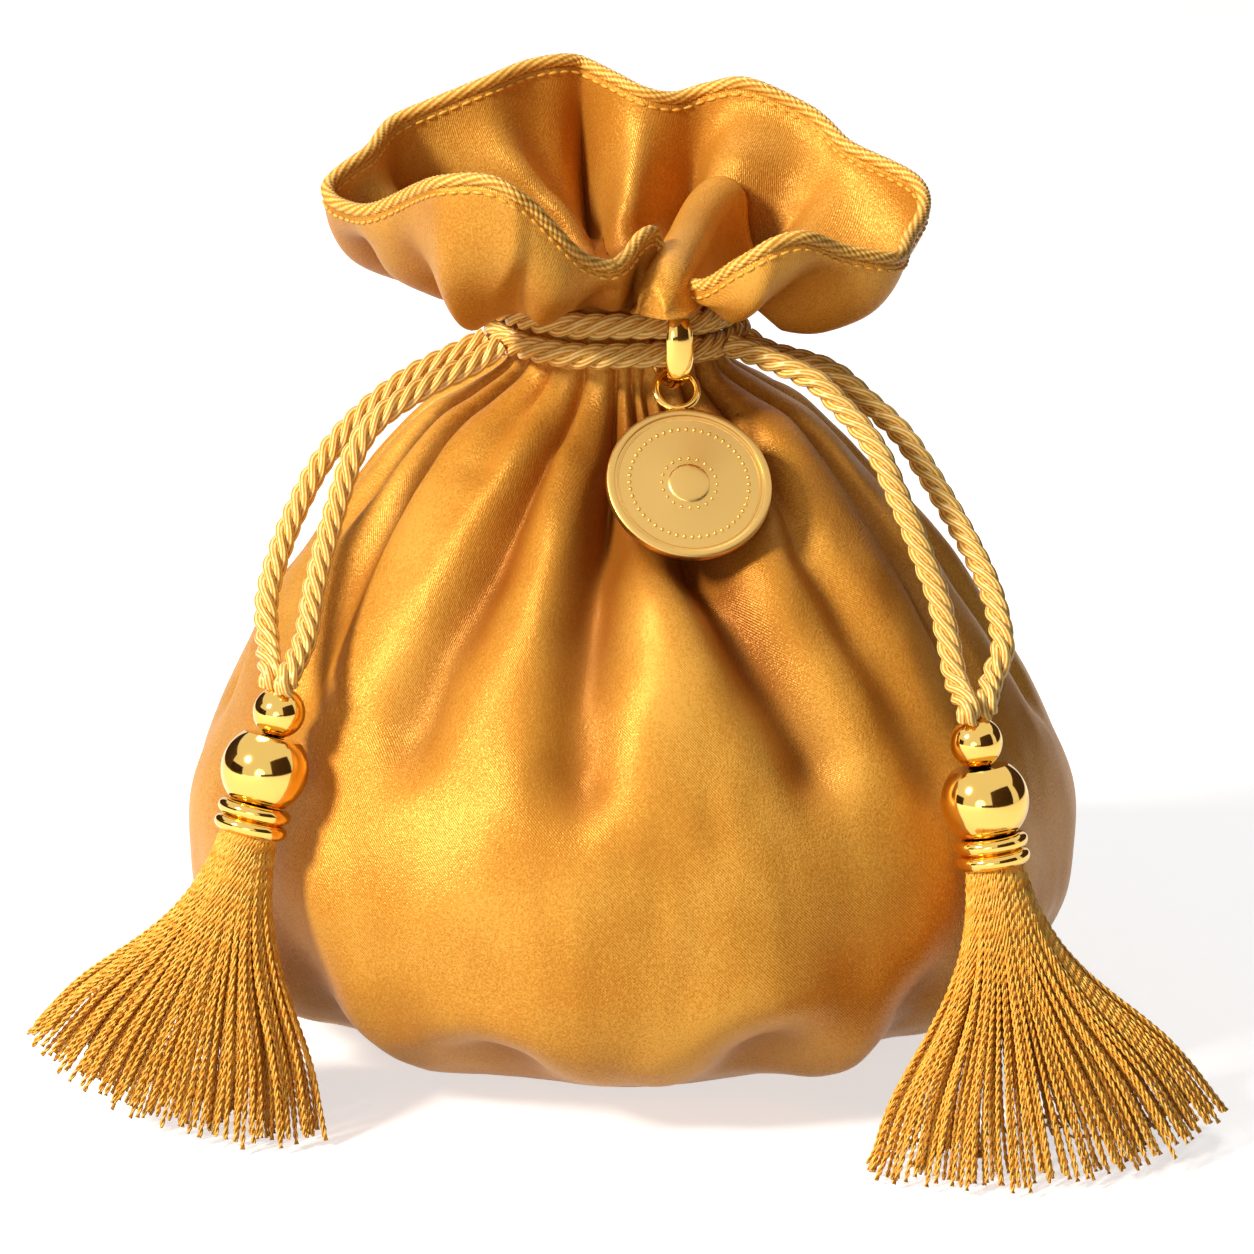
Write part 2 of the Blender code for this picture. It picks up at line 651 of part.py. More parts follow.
def make_skirt(side, top, axis, pivot):
    """The fringe as one fluted fan: a round head under the ferrule, and a wide hem at the floor."""
    place = tassel_places[side]
    out = direction(place["angle"] + place["turn"])
    across = tangent(place["angle"] + place["turn"])
    head_side = axis.cross(out).normalized() * -1
    head_out = head_side.cross(axis).normalized() * -1
    if head_side.dot(across) < 0:
        head_side.negate()
    if head_out.dot(out) < 0:
        head_out.negate()
    count = skirt_flutes * 2
    rings = []
    for s in (0.0, 0.1, 0.28, 0.52, 0.78, 1.0):
        ring = []
        for k in range(count):
            a = 2 * pi * k / count
            flute = 1 - (0.11 if k % 2 else 0.0) * smooth_step(s * 4)
            lean_side = place["side"][0] + place["side"][1] * cos(a) * flute
            lean_out = place["out"][0] + place["out"][1] * sin(a) * flute
            way = (across * lean_side + out * lean_out - Vector((0, 0, 1))).normalized()
            start = top + skirt_top_diameter / 2 * (head_side * cos(a) + head_out * sin(a))
            straight = way * place["skirt_length"] * s
            hang = axis * place["skirt_length"] * s
            point = start + hang.lerp(straight, smooth_step(s * 3))
            point.z = max(point.z, skirt_clear)
            ring.append(point)
        rings.append(ring)
    points, faces = skin_rings(rings)
    add_object(side + "_tassel_skirt", mesh_from(side + "_tassel_skirt", points, faces),
               finish_material(side + "_thread", gold_thread, 0.55, 0.15), pivot)


def bail_frame():
    """The bail's middle on the cords, its width direction and the direction out of the bag."""
    half_back = turn_diameter / 2 + bail_play
    centre = neck_axis + direction(bail_place_angle) * turn_radius
    out = direction(bail_turn)
    front = turn_diameter / 2 + 2 * gap + eye_wire + gap
    middle = (front - half_back) / 2
    depth = (front + half_back) / 2
    top = upper_turn_height + turn_diameter / 2 + bail_play
    bottom = lower_turn_height - turn_diameter / 2 - bail_play - bail_hang
    centre += out * middle + Vector((0, 0, (top + bottom) / 2))
    return centre, tangent(bail_turn), out, depth, (top - bottom) / 2


def bail_inside(a):
    """A point on the bail's inner curve, a softened rectangle, and the way out into the metal."""
    centre, across, out, depth, half_height = bail_frame()

    def point(b):
        c, s = cos(b), sin(b)
        forward = copysign(abs(c) ** bail_corner, c) * depth
        return out * forward + Vector((0, 0, copysign(abs(s) ** bail_corner, s) * half_height))

    along = point(a + 0.02) - point(a - 0.02)
    way = (out * along.z - Vector((0, 0, along.dot(out)))).normalized()
    return centre + point(a), way


def make_bail():
    """A puffed loop round both cords, wide in front and behind and narrow at its top and bottom."""
    centre, across, out, depth, half_height = bail_frame()
    pivot = centre + Vector((0, 0, half_height - bail_play - turn_diameter / 2))
    rings = []
    for k in range(20):
        a = 2 * pi * (k + 0.5) / 20
        inner, way = bail_inside(a)
        width = bail_end_width + (bail_width - bail_end_width) * abs(cos(a)) ** 1.6
        middle = inner + way * bail_thickness / 2
        ring = []
        for m in range(8):
            b = 2 * pi * m / 8 + pi / 8
            ring.append(middle + across * width / 2 * cos(b) + way * bail_thickness / 2 * sin(b))
        rings.append(ring)
    points, faces = skin_rings(rings, closed_loop=True)
    gold = finish_material("bail_gold", polished_gold, 0.12, 1.0)
    add_object("bail", mesh_from("bail", points, faces), gold, pivot)


def charm_pivot():
    """Where the eye's wire hangs in the bail's front lower curve."""
    inner, way = bail_inside(radians(-62))
    return inner - way * (2.8 * gap + eye_wire / 2)


def make_charm():
    """A round disc with a raised rim, a recessed field and a low round boss, with its eye on top."""
    pivot = charm_pivot()
    out = direction(charm_turn)
    lean = radians(charm_lean)
    down = out * sin(lean) - Vector((0, 0, cos(lean)))
    face = (out * cos(lean) + Vector((0, 0, sin(lean)))).normalized()
    eye_centre = pivot + down * (eye_diameter - eye_wire) / 2
    disc_centre = eye_centre + down * eye_to_charm
    radius, half = charm_diameter / 2, charm_thickness / 2
    field = half - charm_field_recess
    boss = charm_boss_diameter / 2
    rim = radius - charm_rim_width
    profile = [(0, -half), (radius - 0.5, -half), (radius, -half + 0.5), (radius, half - 0.4),
               (radius - 0.4, half), (rim, half), (rim - 0.3, field), (boss, field),
               (boss - 0.6, half - 0.1), (0, half)]
    gold = finish_material("charm_gold", brushed_gold, 0.32, 1.0)
    disc = add_object("charm", turned_mesh("charm", profile, disc_centre, face, 40), gold, pivot)
    wire = eye_wire / 2
    outline = [((eye_diameter - eye_wire) / 2 + wire * cos(a), wire * sin(a)) for a in
               (2 * pi * k / 8 for k in range(8))]
    eye_mesh = bored_mesh("charm_eye", outline, eye_centre, face, 20)
    eye = add_object("charm_eye_tool", eye_mesh, gold, pivot)
    neck = add_object("charm_neck_tool", neck_mesh(eye_centre, down, face), gold, pivot)
    for tool in (eye, neck):
        tool.hide_render = True
        tool.display_type = "WIRE"
        union = disc.modifiers.new("join " + tool.name, "BOOLEAN")
        union.operation = "UNION"
        union.solver = "EXACT"
        union.object = tool


def neck_mesh(eye_centre, down, face):
    """The short solid neck that carries the eye on the disc's edge."""
    across = down.cross(face)
    start = (eye_diameter - eye_wire) / 2 - eye_wire * 0.1
    end = eye_to_charm - charm_diameter / 2 + 1.0
    corners = []
    for along, width in ((start, 2.2), (end, 4.2)):
        for side, up in ((-1, -1), (1, -1), (1, 1), (-1, 1)):
            thick = face * eye_wire * 0.42 * up
            corners.append(eye_centre + down * along + across * width / 2 * side + thick)
    faces = [(0, 1, 2, 3), (4, 5, 6, 7), (0, 1, 5, 4), (1, 2, 6, 5), (2, 3, 7, 6), (3, 0, 4, 7)]
    return mesh_from("charm_neck", corners, faces)


def main():
    clear_scene()
    make_pouch()
    make_piping()
    make_neck_turn("right_drawcord_turn", lower_turn_height, 0.0)
    make_neck_turn("left_drawcord_turn", upper_turn_height, upper_turn_tilt)
    for name, side, which in leg_names:
        make_leg(name, side, which)
    make_tassel("left")
    make_tassel("right")
    make_bail()
    make_charm()


main()
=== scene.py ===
# A gold satin potli bag: a gathered pouch with a piped frill, two twisted cords with beads
# and tassels, and a round charm on a bail. Distances are in millimetres until a mesh is made.
import bpy
import random
from bisect import bisect_right
from math import acos, cos, copysign, exp, floor, hypot, pi, radians, sin, sqrt, tan
from mathutils import Matrix, Vector, noise


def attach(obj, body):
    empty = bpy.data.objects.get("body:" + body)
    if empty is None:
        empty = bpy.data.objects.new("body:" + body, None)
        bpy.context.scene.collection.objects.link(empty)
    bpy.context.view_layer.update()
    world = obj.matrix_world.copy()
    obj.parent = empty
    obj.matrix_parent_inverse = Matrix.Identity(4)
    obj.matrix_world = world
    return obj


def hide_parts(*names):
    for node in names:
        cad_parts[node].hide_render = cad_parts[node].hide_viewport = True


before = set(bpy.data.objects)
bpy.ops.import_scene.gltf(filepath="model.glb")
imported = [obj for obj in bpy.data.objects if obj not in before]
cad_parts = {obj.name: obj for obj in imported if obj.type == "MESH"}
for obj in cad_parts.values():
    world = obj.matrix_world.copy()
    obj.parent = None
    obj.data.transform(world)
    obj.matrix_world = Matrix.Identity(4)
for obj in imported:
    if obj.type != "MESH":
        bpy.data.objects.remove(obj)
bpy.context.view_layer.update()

mm = 0.001
scene = bpy.context.scene
scene.view_settings.view_transform = "Standard"
random.seed(11)


# colours, nodes and meshes

def linear(code):
    # sRGB hex to the linear colour that the shaders take
    parts = [int(code[i:i + 2], 16) / 255 for i in (1, 3, 5)]
    return tuple(c / 12.92 if c <= 0.04045 else ((c + 0.055) / 1.055) ** 2.4 for c in parts) + (1.0,)


def addNode(tree, kind, values=None, links=None, **settings):
    node = tree.nodes.new(kind)
    for name, value in settings.items():
        setattr(node, name, value)
    for socket, value in (values or {}).items():
        node.inputs[socket].default_value = value
    for socket, source in (links or {}).items():
        tree.links.new(source, node.inputs[socket])
    return node


def meshFrom(name, points, faces, smooth=True):
    mesh = bpy.data.meshes.new(name)
    mesh.from_pydata([tuple(p * mm) for p in points], [], faces)
    mesh.update()
    if smooth:
        mesh.polygons.foreach_set("use_smooth", [True] * len(mesh.polygons))
    return mesh


def addPiece(name, mesh, material, body, replaced=()):
    piece = bpy.data.objects.new(name, mesh)
    scene.collection.objects.link(piece)
    if material:
        mesh.materials.clear()
        mesh.materials.append(material)
    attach(piece, body)
    if replaced:
        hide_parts(*replaced)
    return piece


def skinRings(rings, closedLoop=False, caps=True):
    # faces between equal rings; with closedLoop the last ring joins the first
    count = len(rings[0])
    points = [p for ring in rings for p in ring]
    faces = []
    for a in range(len(rings) if closedLoop else len(rings) - 1):
        b = (a + 1) % len(rings)
        for j in range(count):
            k = (j + 1) % count
            faces.append((a * count + j, a * count + k, b * count + k, b * count + j))
    if caps and not closedLoop:
        faces.append(tuple(range(count))[::-1])
        faces.append(tuple((len(rings) - 1) * count + j for j in range(count)))
    return points, faces


def turnedRings(outline, origin, axis, segments):
    side = axis.orthogonal().normalized()
    other = axis.cross(side)
    rings = []
    for k in range(segments):
        spoke = side * cos(2 * pi * k / segments) + other * sin(2 * pi * k / segments)
        rings.append([origin + axis * along + spoke * radius for radius, along in outline])
    return rings


def outwards(mesh):
    # turns the faces outwards on a closed mesh
    import bmesh
    solid = bmesh.new()
    solid.from_mesh(mesh)
    bmesh.ops.remove_doubles(solid, verts=solid.verts, dist=0.000001)
    bmesh.ops.recalc_face_normals(solid, faces=solid.faces)
    if solid.calc_volume(signed=True) < 0:
        bmesh.ops.reverse_faces(solid, faces=solid.faces)
    solid.to_mesh(mesh)
    solid.free()
    return mesh


def smoothStep(t):
    t = min(max(t, 0.0), 1.0)
    return t * t * (3 - 2 * t)


def catmull(p0, p1, p2, p3, t):
    return 0.5 * (2 * p1 + (p2 - p0) * t + (2 * p0 - 5 * p1 + 4 * p2 - p3) * t**2
                  + (3 * p1 - p0 - 3 * p2 + p3) * t**3)


def angleBetween(a, b):
    return (a - b + 180) % 360 - 180


def direction(angle):
    return Vector((sin(radians(angle)), -cos(radians(angle)), 0))


def tangent(angle):
    return Vector((cos(radians(angle)), sin(radians(angle)), 0))


# the camera stands at the photograph's place: 15 degrees up, 1.4 m away

camera = {"elevation": 15.0, "distance": 1.4, "aim": 0.105, "lens": 176.8, "shiftX": -7 / 1254, "shiftY": -52.7 / 1254}


def makeCamera():
    data = bpy.data.cameras.new("studioCamera")
    thing = bpy.data.objects.new("studioCamera", data)
    scene.collection.objects.link(thing)
    up = radians(camera["elevation"])
    thing.location = (0, -cos(up) * camera["distance"], camera["aim"] + sin(up) * camera["distance"])
    thing.rotation_euler = (radians(90) - up, 0, 0)
    data.sensor_width = 36
    data.lens = camera["lens"]
    data.shift_x = camera["shiftX"]
    data.shift_y = camera["shiftY"]
    data.clip_end = 20
    scene.camera = thing


makeCamera()
print("camera placed")


# shared places, in the CAD model's frame

pouch = {
    "bodyRadius": 100.3, "neckHeight": 158.5, "neckRadius": 23.9, "neckShift": -4.0,
    "columns": 448, "clothThickness": 1.5, "frillRadius": 69.5, "frillHeight": 43.0, "frillSag": 3.5,
    "pitDepth": 12.0, "pipingDiameter": 3.2,
    # swell is 0 at the neck and 1 at the widest, rise is the share of the neck's height
    "profile": [
        (0.263, 0.0), (0.36, 0.0095), (0.53, 0.0315), (0.74, 0.069), (0.90, 0.123), (0.98, 0.196),
        (1.0, 0.278), (0.987, 0.366), (0.924, 0.461), (0.826, 0.555), (0.721, 0.65), (0.603, 0.729),
        (0.486, 0.795), (0.368, 0.861), (0.25, 0.915), (0.119, 0.951), (0.034, 0.978), (0.0, 1.0),
    ],
    # hollows between pleats: angle at the neck, middle and end, reach, half width, depth
    "hollows": [
        (-62, -60, -56, 92, 7, 5.4), (-43, -41, -39, 30, 4, 3.0), (-21, -26, -34, 93, 9.4, 8.4),
        (0, -4, -7, 98, 9.4, 9.4), (11, 11, 9, 40, 3.5, 2.6), (20, 18, 17, 30, 3.5, 2.0),
        (31, 19, 28, 98, 9.0, 10.6), (46, 40, 38, 36, 4, 2.5), (59, 42, 46, 108, 7, 4.0),
        (78, 70, 63, 88, 6, 4.2), (97, 90, 84, 104, 7, 4.5), (114, 112, 108, 70, 6, 4.0),
        (131, 132, 130, 108, 8, 6.0), (149, 151, 153, 62, 6, 4.0), (166, 169, 172, 100, 8, 6.5),
        (184, 186, 187, 78, 6, 4.0), (201, 203, 208, 110, 8, 6.0), (218, 221, 222, 60, 6, 4.0),
        (235, 236, 238, 98, 7, 5.5), (251, 253, 257, 74, 6, 4.0), (267, 269, 272, 102, 7, 4.5),
        (283, 284, 286, 56, 5, 3.5),
    ],
    # tucks at the foot: angle, height of the top, half width, depth
    "tucks": [
        (-49, 50, 10, 6.0), (-19, 26, 11, 6.0), (18, 32, 11, 6.4), (43, 42, 9, 5.6), (75, 34, 10, 3.6),
        (108, 40, 11, 4.4), (141, 30, 11, 4.4), (174, 38, 12, 4.6), (207, 28, 11, 4.2), (240, 40, 11, 4.4),
        (272, 32, 11, 3.8),
    ],
    # the frill's rim: angle, share of its radius, share of its height
    "rim": [
        (-90, 0.94, 0.51), (-80, 0.91, 0.49), (-69, 0.86, 0.53), (-58, 0.84, 0.63), (-47, 0.84, 0.73),
        (-37, 0.86, 0.81), (-27, 0.85, 0.83), (-20, 0.82, 0.74), (-14, 0.74, 0.56), (-8, 0.66, 0.39),
        (-1, 0.63, 0.34), (6, 0.56, 0.385), (11, 0.48, 0.435), (16, 0.41, 0.44), (20.5, 0.37, 0.42), (23.5, 0.35, 0.34),
        (25.5, 0.39, 0.21), (28, 0.56, 0.20), (31, 0.71, 0.35), (36, 0.80, 0.46), (44, 0.87, 0.49), (55, 0.91, 0.38),
        (66, 0.96, 0.31), (77, 0.98, 0.33), (90, 1.0, 0.42), (102, 0.97, 0.53), (119, 0.89, 0.65),
        (133, 0.86, 0.79), (146, 0.80, 0.91), (156, 0.71, 0.87), (165, 0.64, 0.83), (180, 0.72, 0.92),
        (194, 0.77, 1.0), (214, 0.80, 0.93), (234, 0.83, 0.77), (255, 0.90, 0.63),
    ],
    # folds up the frill: angle at the neck and at the rim, half width in degrees at each, height
    "folds": [
        (-84, -88, 7, 10, 2.6), (-64, -60, 7, 11, 3.0), (-48, -38, 6, 9, -3.0), (-27, -12, 6, 7, -2.4),
        (-12, -3, 5, 6, 2.4), (8, 8, 4, 4, 3.2), (38, 34, 4, 5, -2.4), (50, 52, 6, 9, 3.4), (65, 63, 7, 10, -3.0),
        (82, 80, 6, 10, 2.6), (98, 100, 6, 9, -2.8), (114, 117, 6, 9, 3.0), (130, 132, 6, 9, -2.6),
        (146, 148, 4, 7, 2.2), (160, 161, 5, 8, -5.2), (178, 174, 5, 8, 5.0), (188, 188, 3.5, 5.5, -5.6),
        (195, 215, 5, 11, 5.4), (205, 236, 5, 9, -5.0), (219, 252, 6, 9, 3.6), (234, 266, 6, 8, -3.0),
        (250, 282, 6, 8, 2.4),
    ],
    # the left petal laps over the middle flap: angle at the neck and rim, height, reach in degrees
    "lap": (-40, -20, 3.8, 22),
    # where the rolled pleat runs into the far wall: angle, half width in degrees, height
    "pleatEnd": (137, 11, 13.5),
    # the pleat that rolls out of the mouth on to the far wall: place across and back from the neck's
    # axis in shares of the frill's radius, its middle and foot in shares of its height, half width
    "rolledPleat": [
        (0.112, -0.545, 0.03, 0.02, 3.0), (0.122, -0.532, 0.08, 0.02, 4.3), (0.138, -0.50, 0.135, 0.02, 4.8),
        (0.158, -0.455, 0.175, 0.03, 5.0), (0.180, -0.388, 0.205, 0.05, 5.1), (0.210, -0.230, 0.234, 0.055, 5.2),
        (0.239, -0.058, 0.257, 0.016, 5.2), (0.268, 0.129, 0.28, 0.014, 5.3), (0.299, 0.259, 0.306, 0.014, 5.6),
        (0.333, 0.350, 0.32, 0.01, 5.9), (0.359, 0.389, 0.315, 0.03, 5.8), (0.378, 0.410, 0.30, 0.06, 5.0),
    ],
    "seatAngle": 17.0, "seatHeight": 0.88, "seatWidth": 25.0, "seatDepth": 10.5, "seatStretch": 1.35,
    # foldShade scales the painted shade that darkens the satin's colour in hollows, folds and the mouth
    "wrinkle": 0.34, "slack": 2.4, "foldShade": 0.8,
}

cord = {
    "turnDiameter": 5.9, "upperTilt": 0.8, "legDiameter": 5.4, "lay": -18.0, "strands": 4, "step": 0.9, "gap": 0.3,
    "legStarts": {"left": (-73.0, -58.5), "right": (56.5, 73.0)},
    # each leg's route: angle, stand-off from the body, share of the neck's height
    "legs": {
        "left": [
            [(-73, 10, 1.012), (-72, 21, 0.975), (-70, 21, 0.927), (-67, 21, 0.877), (-64, 21, 0.826),
             (-61, 20.5, 0.77), (-58, 19.5, 0.713), (-54.5, 17.5, 0.66)],
            [(-59.5, 13, 1.0), (-60, 22, 0.972), (-60, 24, 0.937), (-59, 21, 0.896), (-57, 18, 0.842),
             (-55, 16, 0.79), (-52.5, 14, 0.727), (-49.5, 14, 0.668)],
        ],
        "right": [
            [(56.5, 16, 1.012), (57, 27, 0.99), (57, 28, 0.96), (56, 26.5, 0.928), (55, 25, 0.895),
             (54, 23, 0.855), (53, 22, 0.812), (52, 20.5, 0.77), (51, 19, 0.725), (49, 17.5, 0.67),
             (47, 17.5, 0.625)],
            [(73, 12, 1.004), (72.5, 24, 0.985), (72, 24, 0.945), (70.5, 22.5, 0.905), (68, 22, 0.862),
             (65, 22.5, 0.81), (62, 23.5, 0.768), (59.5, 24, 0.73), (57, 24.5, 0.695), (54, 24, 0.655),
             (51.5, 21, 0.622)],
        ],
    },
}

tassel = {
    "left": {"angle": -48.3, "standoff": 16.0, "height": 0.58, "lean": 19.0, "turn": 28.0,
             "length": 67.0, "side": (-0.33, 0.57), "out": (0.16, 0.14)},
    "right": {"angle": 45.8, "standoff": 18.0, "height": 0.549, "lean": 12.0, "turn": -27.0,
              "length": 71.0, "side": (0.11, 0.63), "out": (0.39, 0.29)},
    "endBead": 11.4, "endBeadSeat": 0.92, "ball": 19.2, "ballHeight": 14.6, "ferrule": 16.2,
    "ferruleHeight": 7.0, "core": 4.6, "skirtTop": 13.0,
    "layers": [(1.0, 104), (0.76, 80), (0.46, 44)],   # share of the spread, yarns
    "yarn": 1.15, "yarnLay": 4.0, "yarnStep": 0.9,
}

neckAxis = Vector((pouch["neckShift"], 0, 0))
turnRadius = pouch["neckRadius"] + cord["gap"] + cord["turnDiameter"] / 2
tiltRise = (turnRadius + cord["turnDiameter"] / 2) * tan(radians(cord["upperTilt"]))
lowerTurn = pouch["neckHeight"] + 2 * cord["gap"] + cord["turnDiameter"] / 2
upperTurn = lowerTurn + cord["turnDiameter"] + cord["gap"] + tiltRise
frillBase = upperTurn + cord["turnDiameter"] / 2 + tiltRise + cord["gap"]


def profilePlaces():
    widest = pouch["bodyRadius"] - pouch["neckRadius"]
    return [(pouch["neckRadius"] + widest * swell, pouch["neckHeight"] * rise) for swell, rise in pouch["profile"]]


def bodyRadiusAt(height):
    places = profilePlaces()
    if height >= places[-1][1]:
        return places[-1][0]
    for (r0, z0), (r1, z1) in zip(places, places[1:]):
        if z0 <= height <= z1:
            return r0 + (r1 - r0) * (height - z0) / (z1 - z0)
    return places[0][0]


def leanAt(height):
    return neckAxis * smoothStep((height / pouch["neckHeight"] - 0.3) / 0.6)


def placeBeside(angle, standoff, share):
    height = share * pouch["neckHeight"]
    return leanAt(height) + direction(angle) * (bodyRadiusAt(height) + standoff) + Vector((0, 0, height))


def pivotOf(side):
    place = tassel[side]
    return placeBeside(place["angle"], place["standoff"], place["height"])


def stackAxis(side):
    place = tassel[side]
    lean = radians(place["lean"])
    return direction(place["angle"]) * sin(lean) - Vector((0, 0, cos(lean)))


# materials

def newMaterial(name):
    material = bpy.data.materials.new(name)
    material.use_nodes = True
    tree = material.node_tree
    return material, tree, tree.nodes["Principled BSDF"]


def ramp(tree, source, stops, **settings):
    node = addNode(tree, "ShaderNodeValToRGB", links={0: source}, **settings)
    band = node.color_ramp
    while len(band.elements) < len(stops):
        band.elements.new(0.5)
    for element, (place, code) in zip(band.elements, stops):
        element.position = place
        element.color = linear(code)
    return node


# deep is the dark colour of the painted shade that the satin takes in its folds, hollows and mouth
satinLook = {
    "deep": "#84400A", "colours": [(0.3, "#C98229"), (0.5, "#D69334"), (0.7, "#E3A545")],
    "roughness": 0.35, "metallic": 0.2, "specular": 0.45, "gloss": "#FFDC98", "thread": 0.7, "weaveDepth": 0.1, "grainDepth": 0.16,
}


def makeSatin():
    # woven silk satin: long floats give a broad soft gloss over a fine twill grain, and a stored attribute mixes the
    # colour towards the deep colour, a painted shade in the folds, hollows and mouth
    material, tree, shader = newMaterial("wovenSilkSatin")
    uv = addNode(tree, "ShaderNodeUVMap", uv_map="cloth")
    place = addNode(tree, "ShaderNodeTexCoord")
    blotch = addNode(tree, "ShaderNodeTexNoise", {"Scale": 30.0, "Detail": 2.0, "Roughness": 0.5},
                     {"Vector": place.outputs["Object"]})
    fine = addNode(tree, "ShaderNodeTexNoise", {"Scale": 1900.0, "Detail": 1.0}, {"Vector": place.outputs["Object"]})
    mixed = addNode(tree, "ShaderNodeMath", {1: 0.9}, {0: fine.outputs["Fac"]}, operation="MULTIPLY")
    tone = addNode(tree, "ShaderNodeMath", None, {0: blotch.outputs["Fac"], 1: mixed.outputs[0]}, operation="ADD")
    tone = addNode(tree, "ShaderNodeMath", {1: -0.45}, {0: tone.outputs[0]}, operation="ADD")
    colour = ramp(tree, tone.outputs[0], satinLook["colours"])
    paintedFoldShade = addNode(tree, "ShaderNodeAttribute", attribute_name="paintedFoldShade")
    colour = addNode(tree, "ShaderNodeMix", {"B": linear(satinLook["deep"])},
                     {"Factor": paintedFoldShade.outputs["Fac"], "A": colour.outputs["Color"]}, data_type="RGBA")
    twill = addNode(tree, "ShaderNodeTexWave", {"Scale": 0.628 / satinLook["thread"], "Distortion": 1.5, "Detail": 1.0,
                                                "Detail Scale": 3.0}, {"Vector": uv.outputs["UV"]},
                    wave_type="BANDS", bands_direction="DIAGONAL")
    bump = addNode(tree, "ShaderNodeBump", {"Strength": 0.5, "Distance": satinLook["weaveDepth"] * mm},
                   {"Height": twill.outputs["Fac"]})
    grain = addNode(tree, "ShaderNodeBump", {"Strength": 0.8, "Distance": satinLook["grainDepth"] * mm},
                    {"Height": fine.outputs["Fac"], "Normal": bump.outputs["Normal"]})
    tree.links.new(colour.outputs["Result"], shader.inputs["Base Color"])
    tree.links.new(grain.outputs["Normal"], shader.inputs["Normal"])
    shader.inputs["Roughness"].default_value = satinLook["roughness"]
    shader.inputs["Metallic"].default_value = satinLook["metallic"]
    shader.inputs["Specular IOR Level"].default_value = satinLook["specular"]
    shader.inputs["Specular Tint"].default_value = linear(satinLook["gloss"])
    return material


def makeSilkCord(name, grooveShadeColour, crownHighlightColour, filaments, pitch, rough):
    # spun silk laid up in strands: the colour is painted darker in the grooves and lighter along each strand's crown, a
    # painted shade and painted highlight, over a random fuzz of tone that is the thread's own
    material, tree, shader = newMaterial(name)
    along = addNode(tree, "ShaderNodeAttribute", attribute_name="along")
    around = addNode(tree, "ShaderNodeAttribute", attribute_name="around")
    turns = addNode(tree, "ShaderNodeMath", {1: float(filaments)}, {0: around.outputs["Fac"]}, operation="MULTIPLY")
    run = addNode(tree, "ShaderNodeMath", {1: 1 / (pitch * mm)}, {0: along.outputs["Fac"]}, operation="MULTIPLY")
    phase = addNode(tree, "ShaderNodeMath", None, {0: turns.outputs[0], 1: run.outputs[0]}, operation="ADD")
    phase = addNode(tree, "ShaderNodeMath", {1: 2 * pi}, {0: phase.outputs[0]}, operation="MULTIPLY")
    wave = addNode(tree, "ShaderNodeMath", None, {0: phase.outputs[0]}, operation="SINE")
    place = addNode(tree, "ShaderNodeTexCoord")
    fuzz = addNode(tree, "ShaderNodeTexNoise", {"Scale": 900.0, "Detail": 3.0}, {"Vector": place.outputs["Object"]})
    height = addNode(tree, "ShaderNodeMath", {1: 0.5}, {0: wave.outputs[0]}, operation="MULTIPLY")
    height = addNode(tree, "ShaderNodeMath", None, {0: height.outputs[0], 1: fuzz.outputs["Fac"]}, operation="ADD")
    # painted shade in the grooves and painted highlight on the crowns, with the thread's own random tone from the noise
    colour = ramp(tree, height.outputs[0], [(0.2, grooveShadeColour), (0.8, crownHighlightColour)])
    bump = addNode(tree, "ShaderNodeBump", {"Strength": 0.6, "Distance": 0.00012}, {"Height": height.outputs[0]})
    tree.links.new(colour.outputs["Color"], shader.inputs["Base Color"])
    tree.links.new(bump.outputs["Normal"], shader.inputs["Normal"])
    shader.inputs["Roughness"].default_value = rough
    shader.inputs["Metallic"].default_value = 0.0
    shader.inputs["Specular IOR Level"].default_value = 0.5
    shader.inputs["Specular Tint"].default_value = linear("#FFF0C8")
    return material


def makeGoldPlate(name, code, rough, grain, scale):
    # gold-plated brass, buffed or blasted: the grain sets how far the studio's reflections spread
    material, tree, shader = newMaterial(name)
    place = addNode(tree, "ShaderNodeTexCoord")
    speck = addNode(tree, "ShaderNodeTexNoise", {"Scale": scale, "Detail": 3.0}, {"Vector": place.outputs["Object"]})
    rub = addNode(tree, "ShaderNodeTexNoise", {"Scale": 90.0, "Detail": 4.0, "Roughness": 0.65},
                  {"Vector": place.outputs["Object"]})
    bump = addNode(tree, "ShaderNodeBump", {"Strength": grain, "Distance": 0.00005}, {"Height": speck.outputs["Fac"]})
    spread = addNode(tree, "ShaderNodeMapRange", {"To Min": rough * 0.75, "To Max": rough * 1.4}, {"Value": rub.outputs["Fac"]})
    shader.inputs["Base Color"].default_value = linear(code)
    shader.inputs["Metallic"].default_value = 1.0
    tree.links.new(spread.outputs["Result"], shader.inputs["Roughness"])
    tree.links.new(bump.outputs["Normal"], shader.inputs["Normal"])
    return material


satin = makeSatin()
# each cord's first colour is its painted groove shade and its second its painted crown highlight
silkCord = makeSilkCord("laidSilkCord", "#DC9630", "#FFE694", -8, 2.2, 0.27)
pipingCord = makeSilkCord("wrappedPipingThread", "#D08A28", "#FFCE6A", 3, 1.2, 0.34)
rayonThread = makeSilkCord("twistedRayonThread", "#EA9E2E", "#FFCC5C", 2, 1.4, 0.4)
polishedGold = makeGoldPlate("buffedGoldPlate", "#EFC468", 0.08, 0.02, 700.0)
mattGold = makeGoldPlate("blastedGoldPlate", "#E3B768", 0.3, 0.35, 2600.0)
print("materials made")


# cords: strands laid round a path by geometry nodes

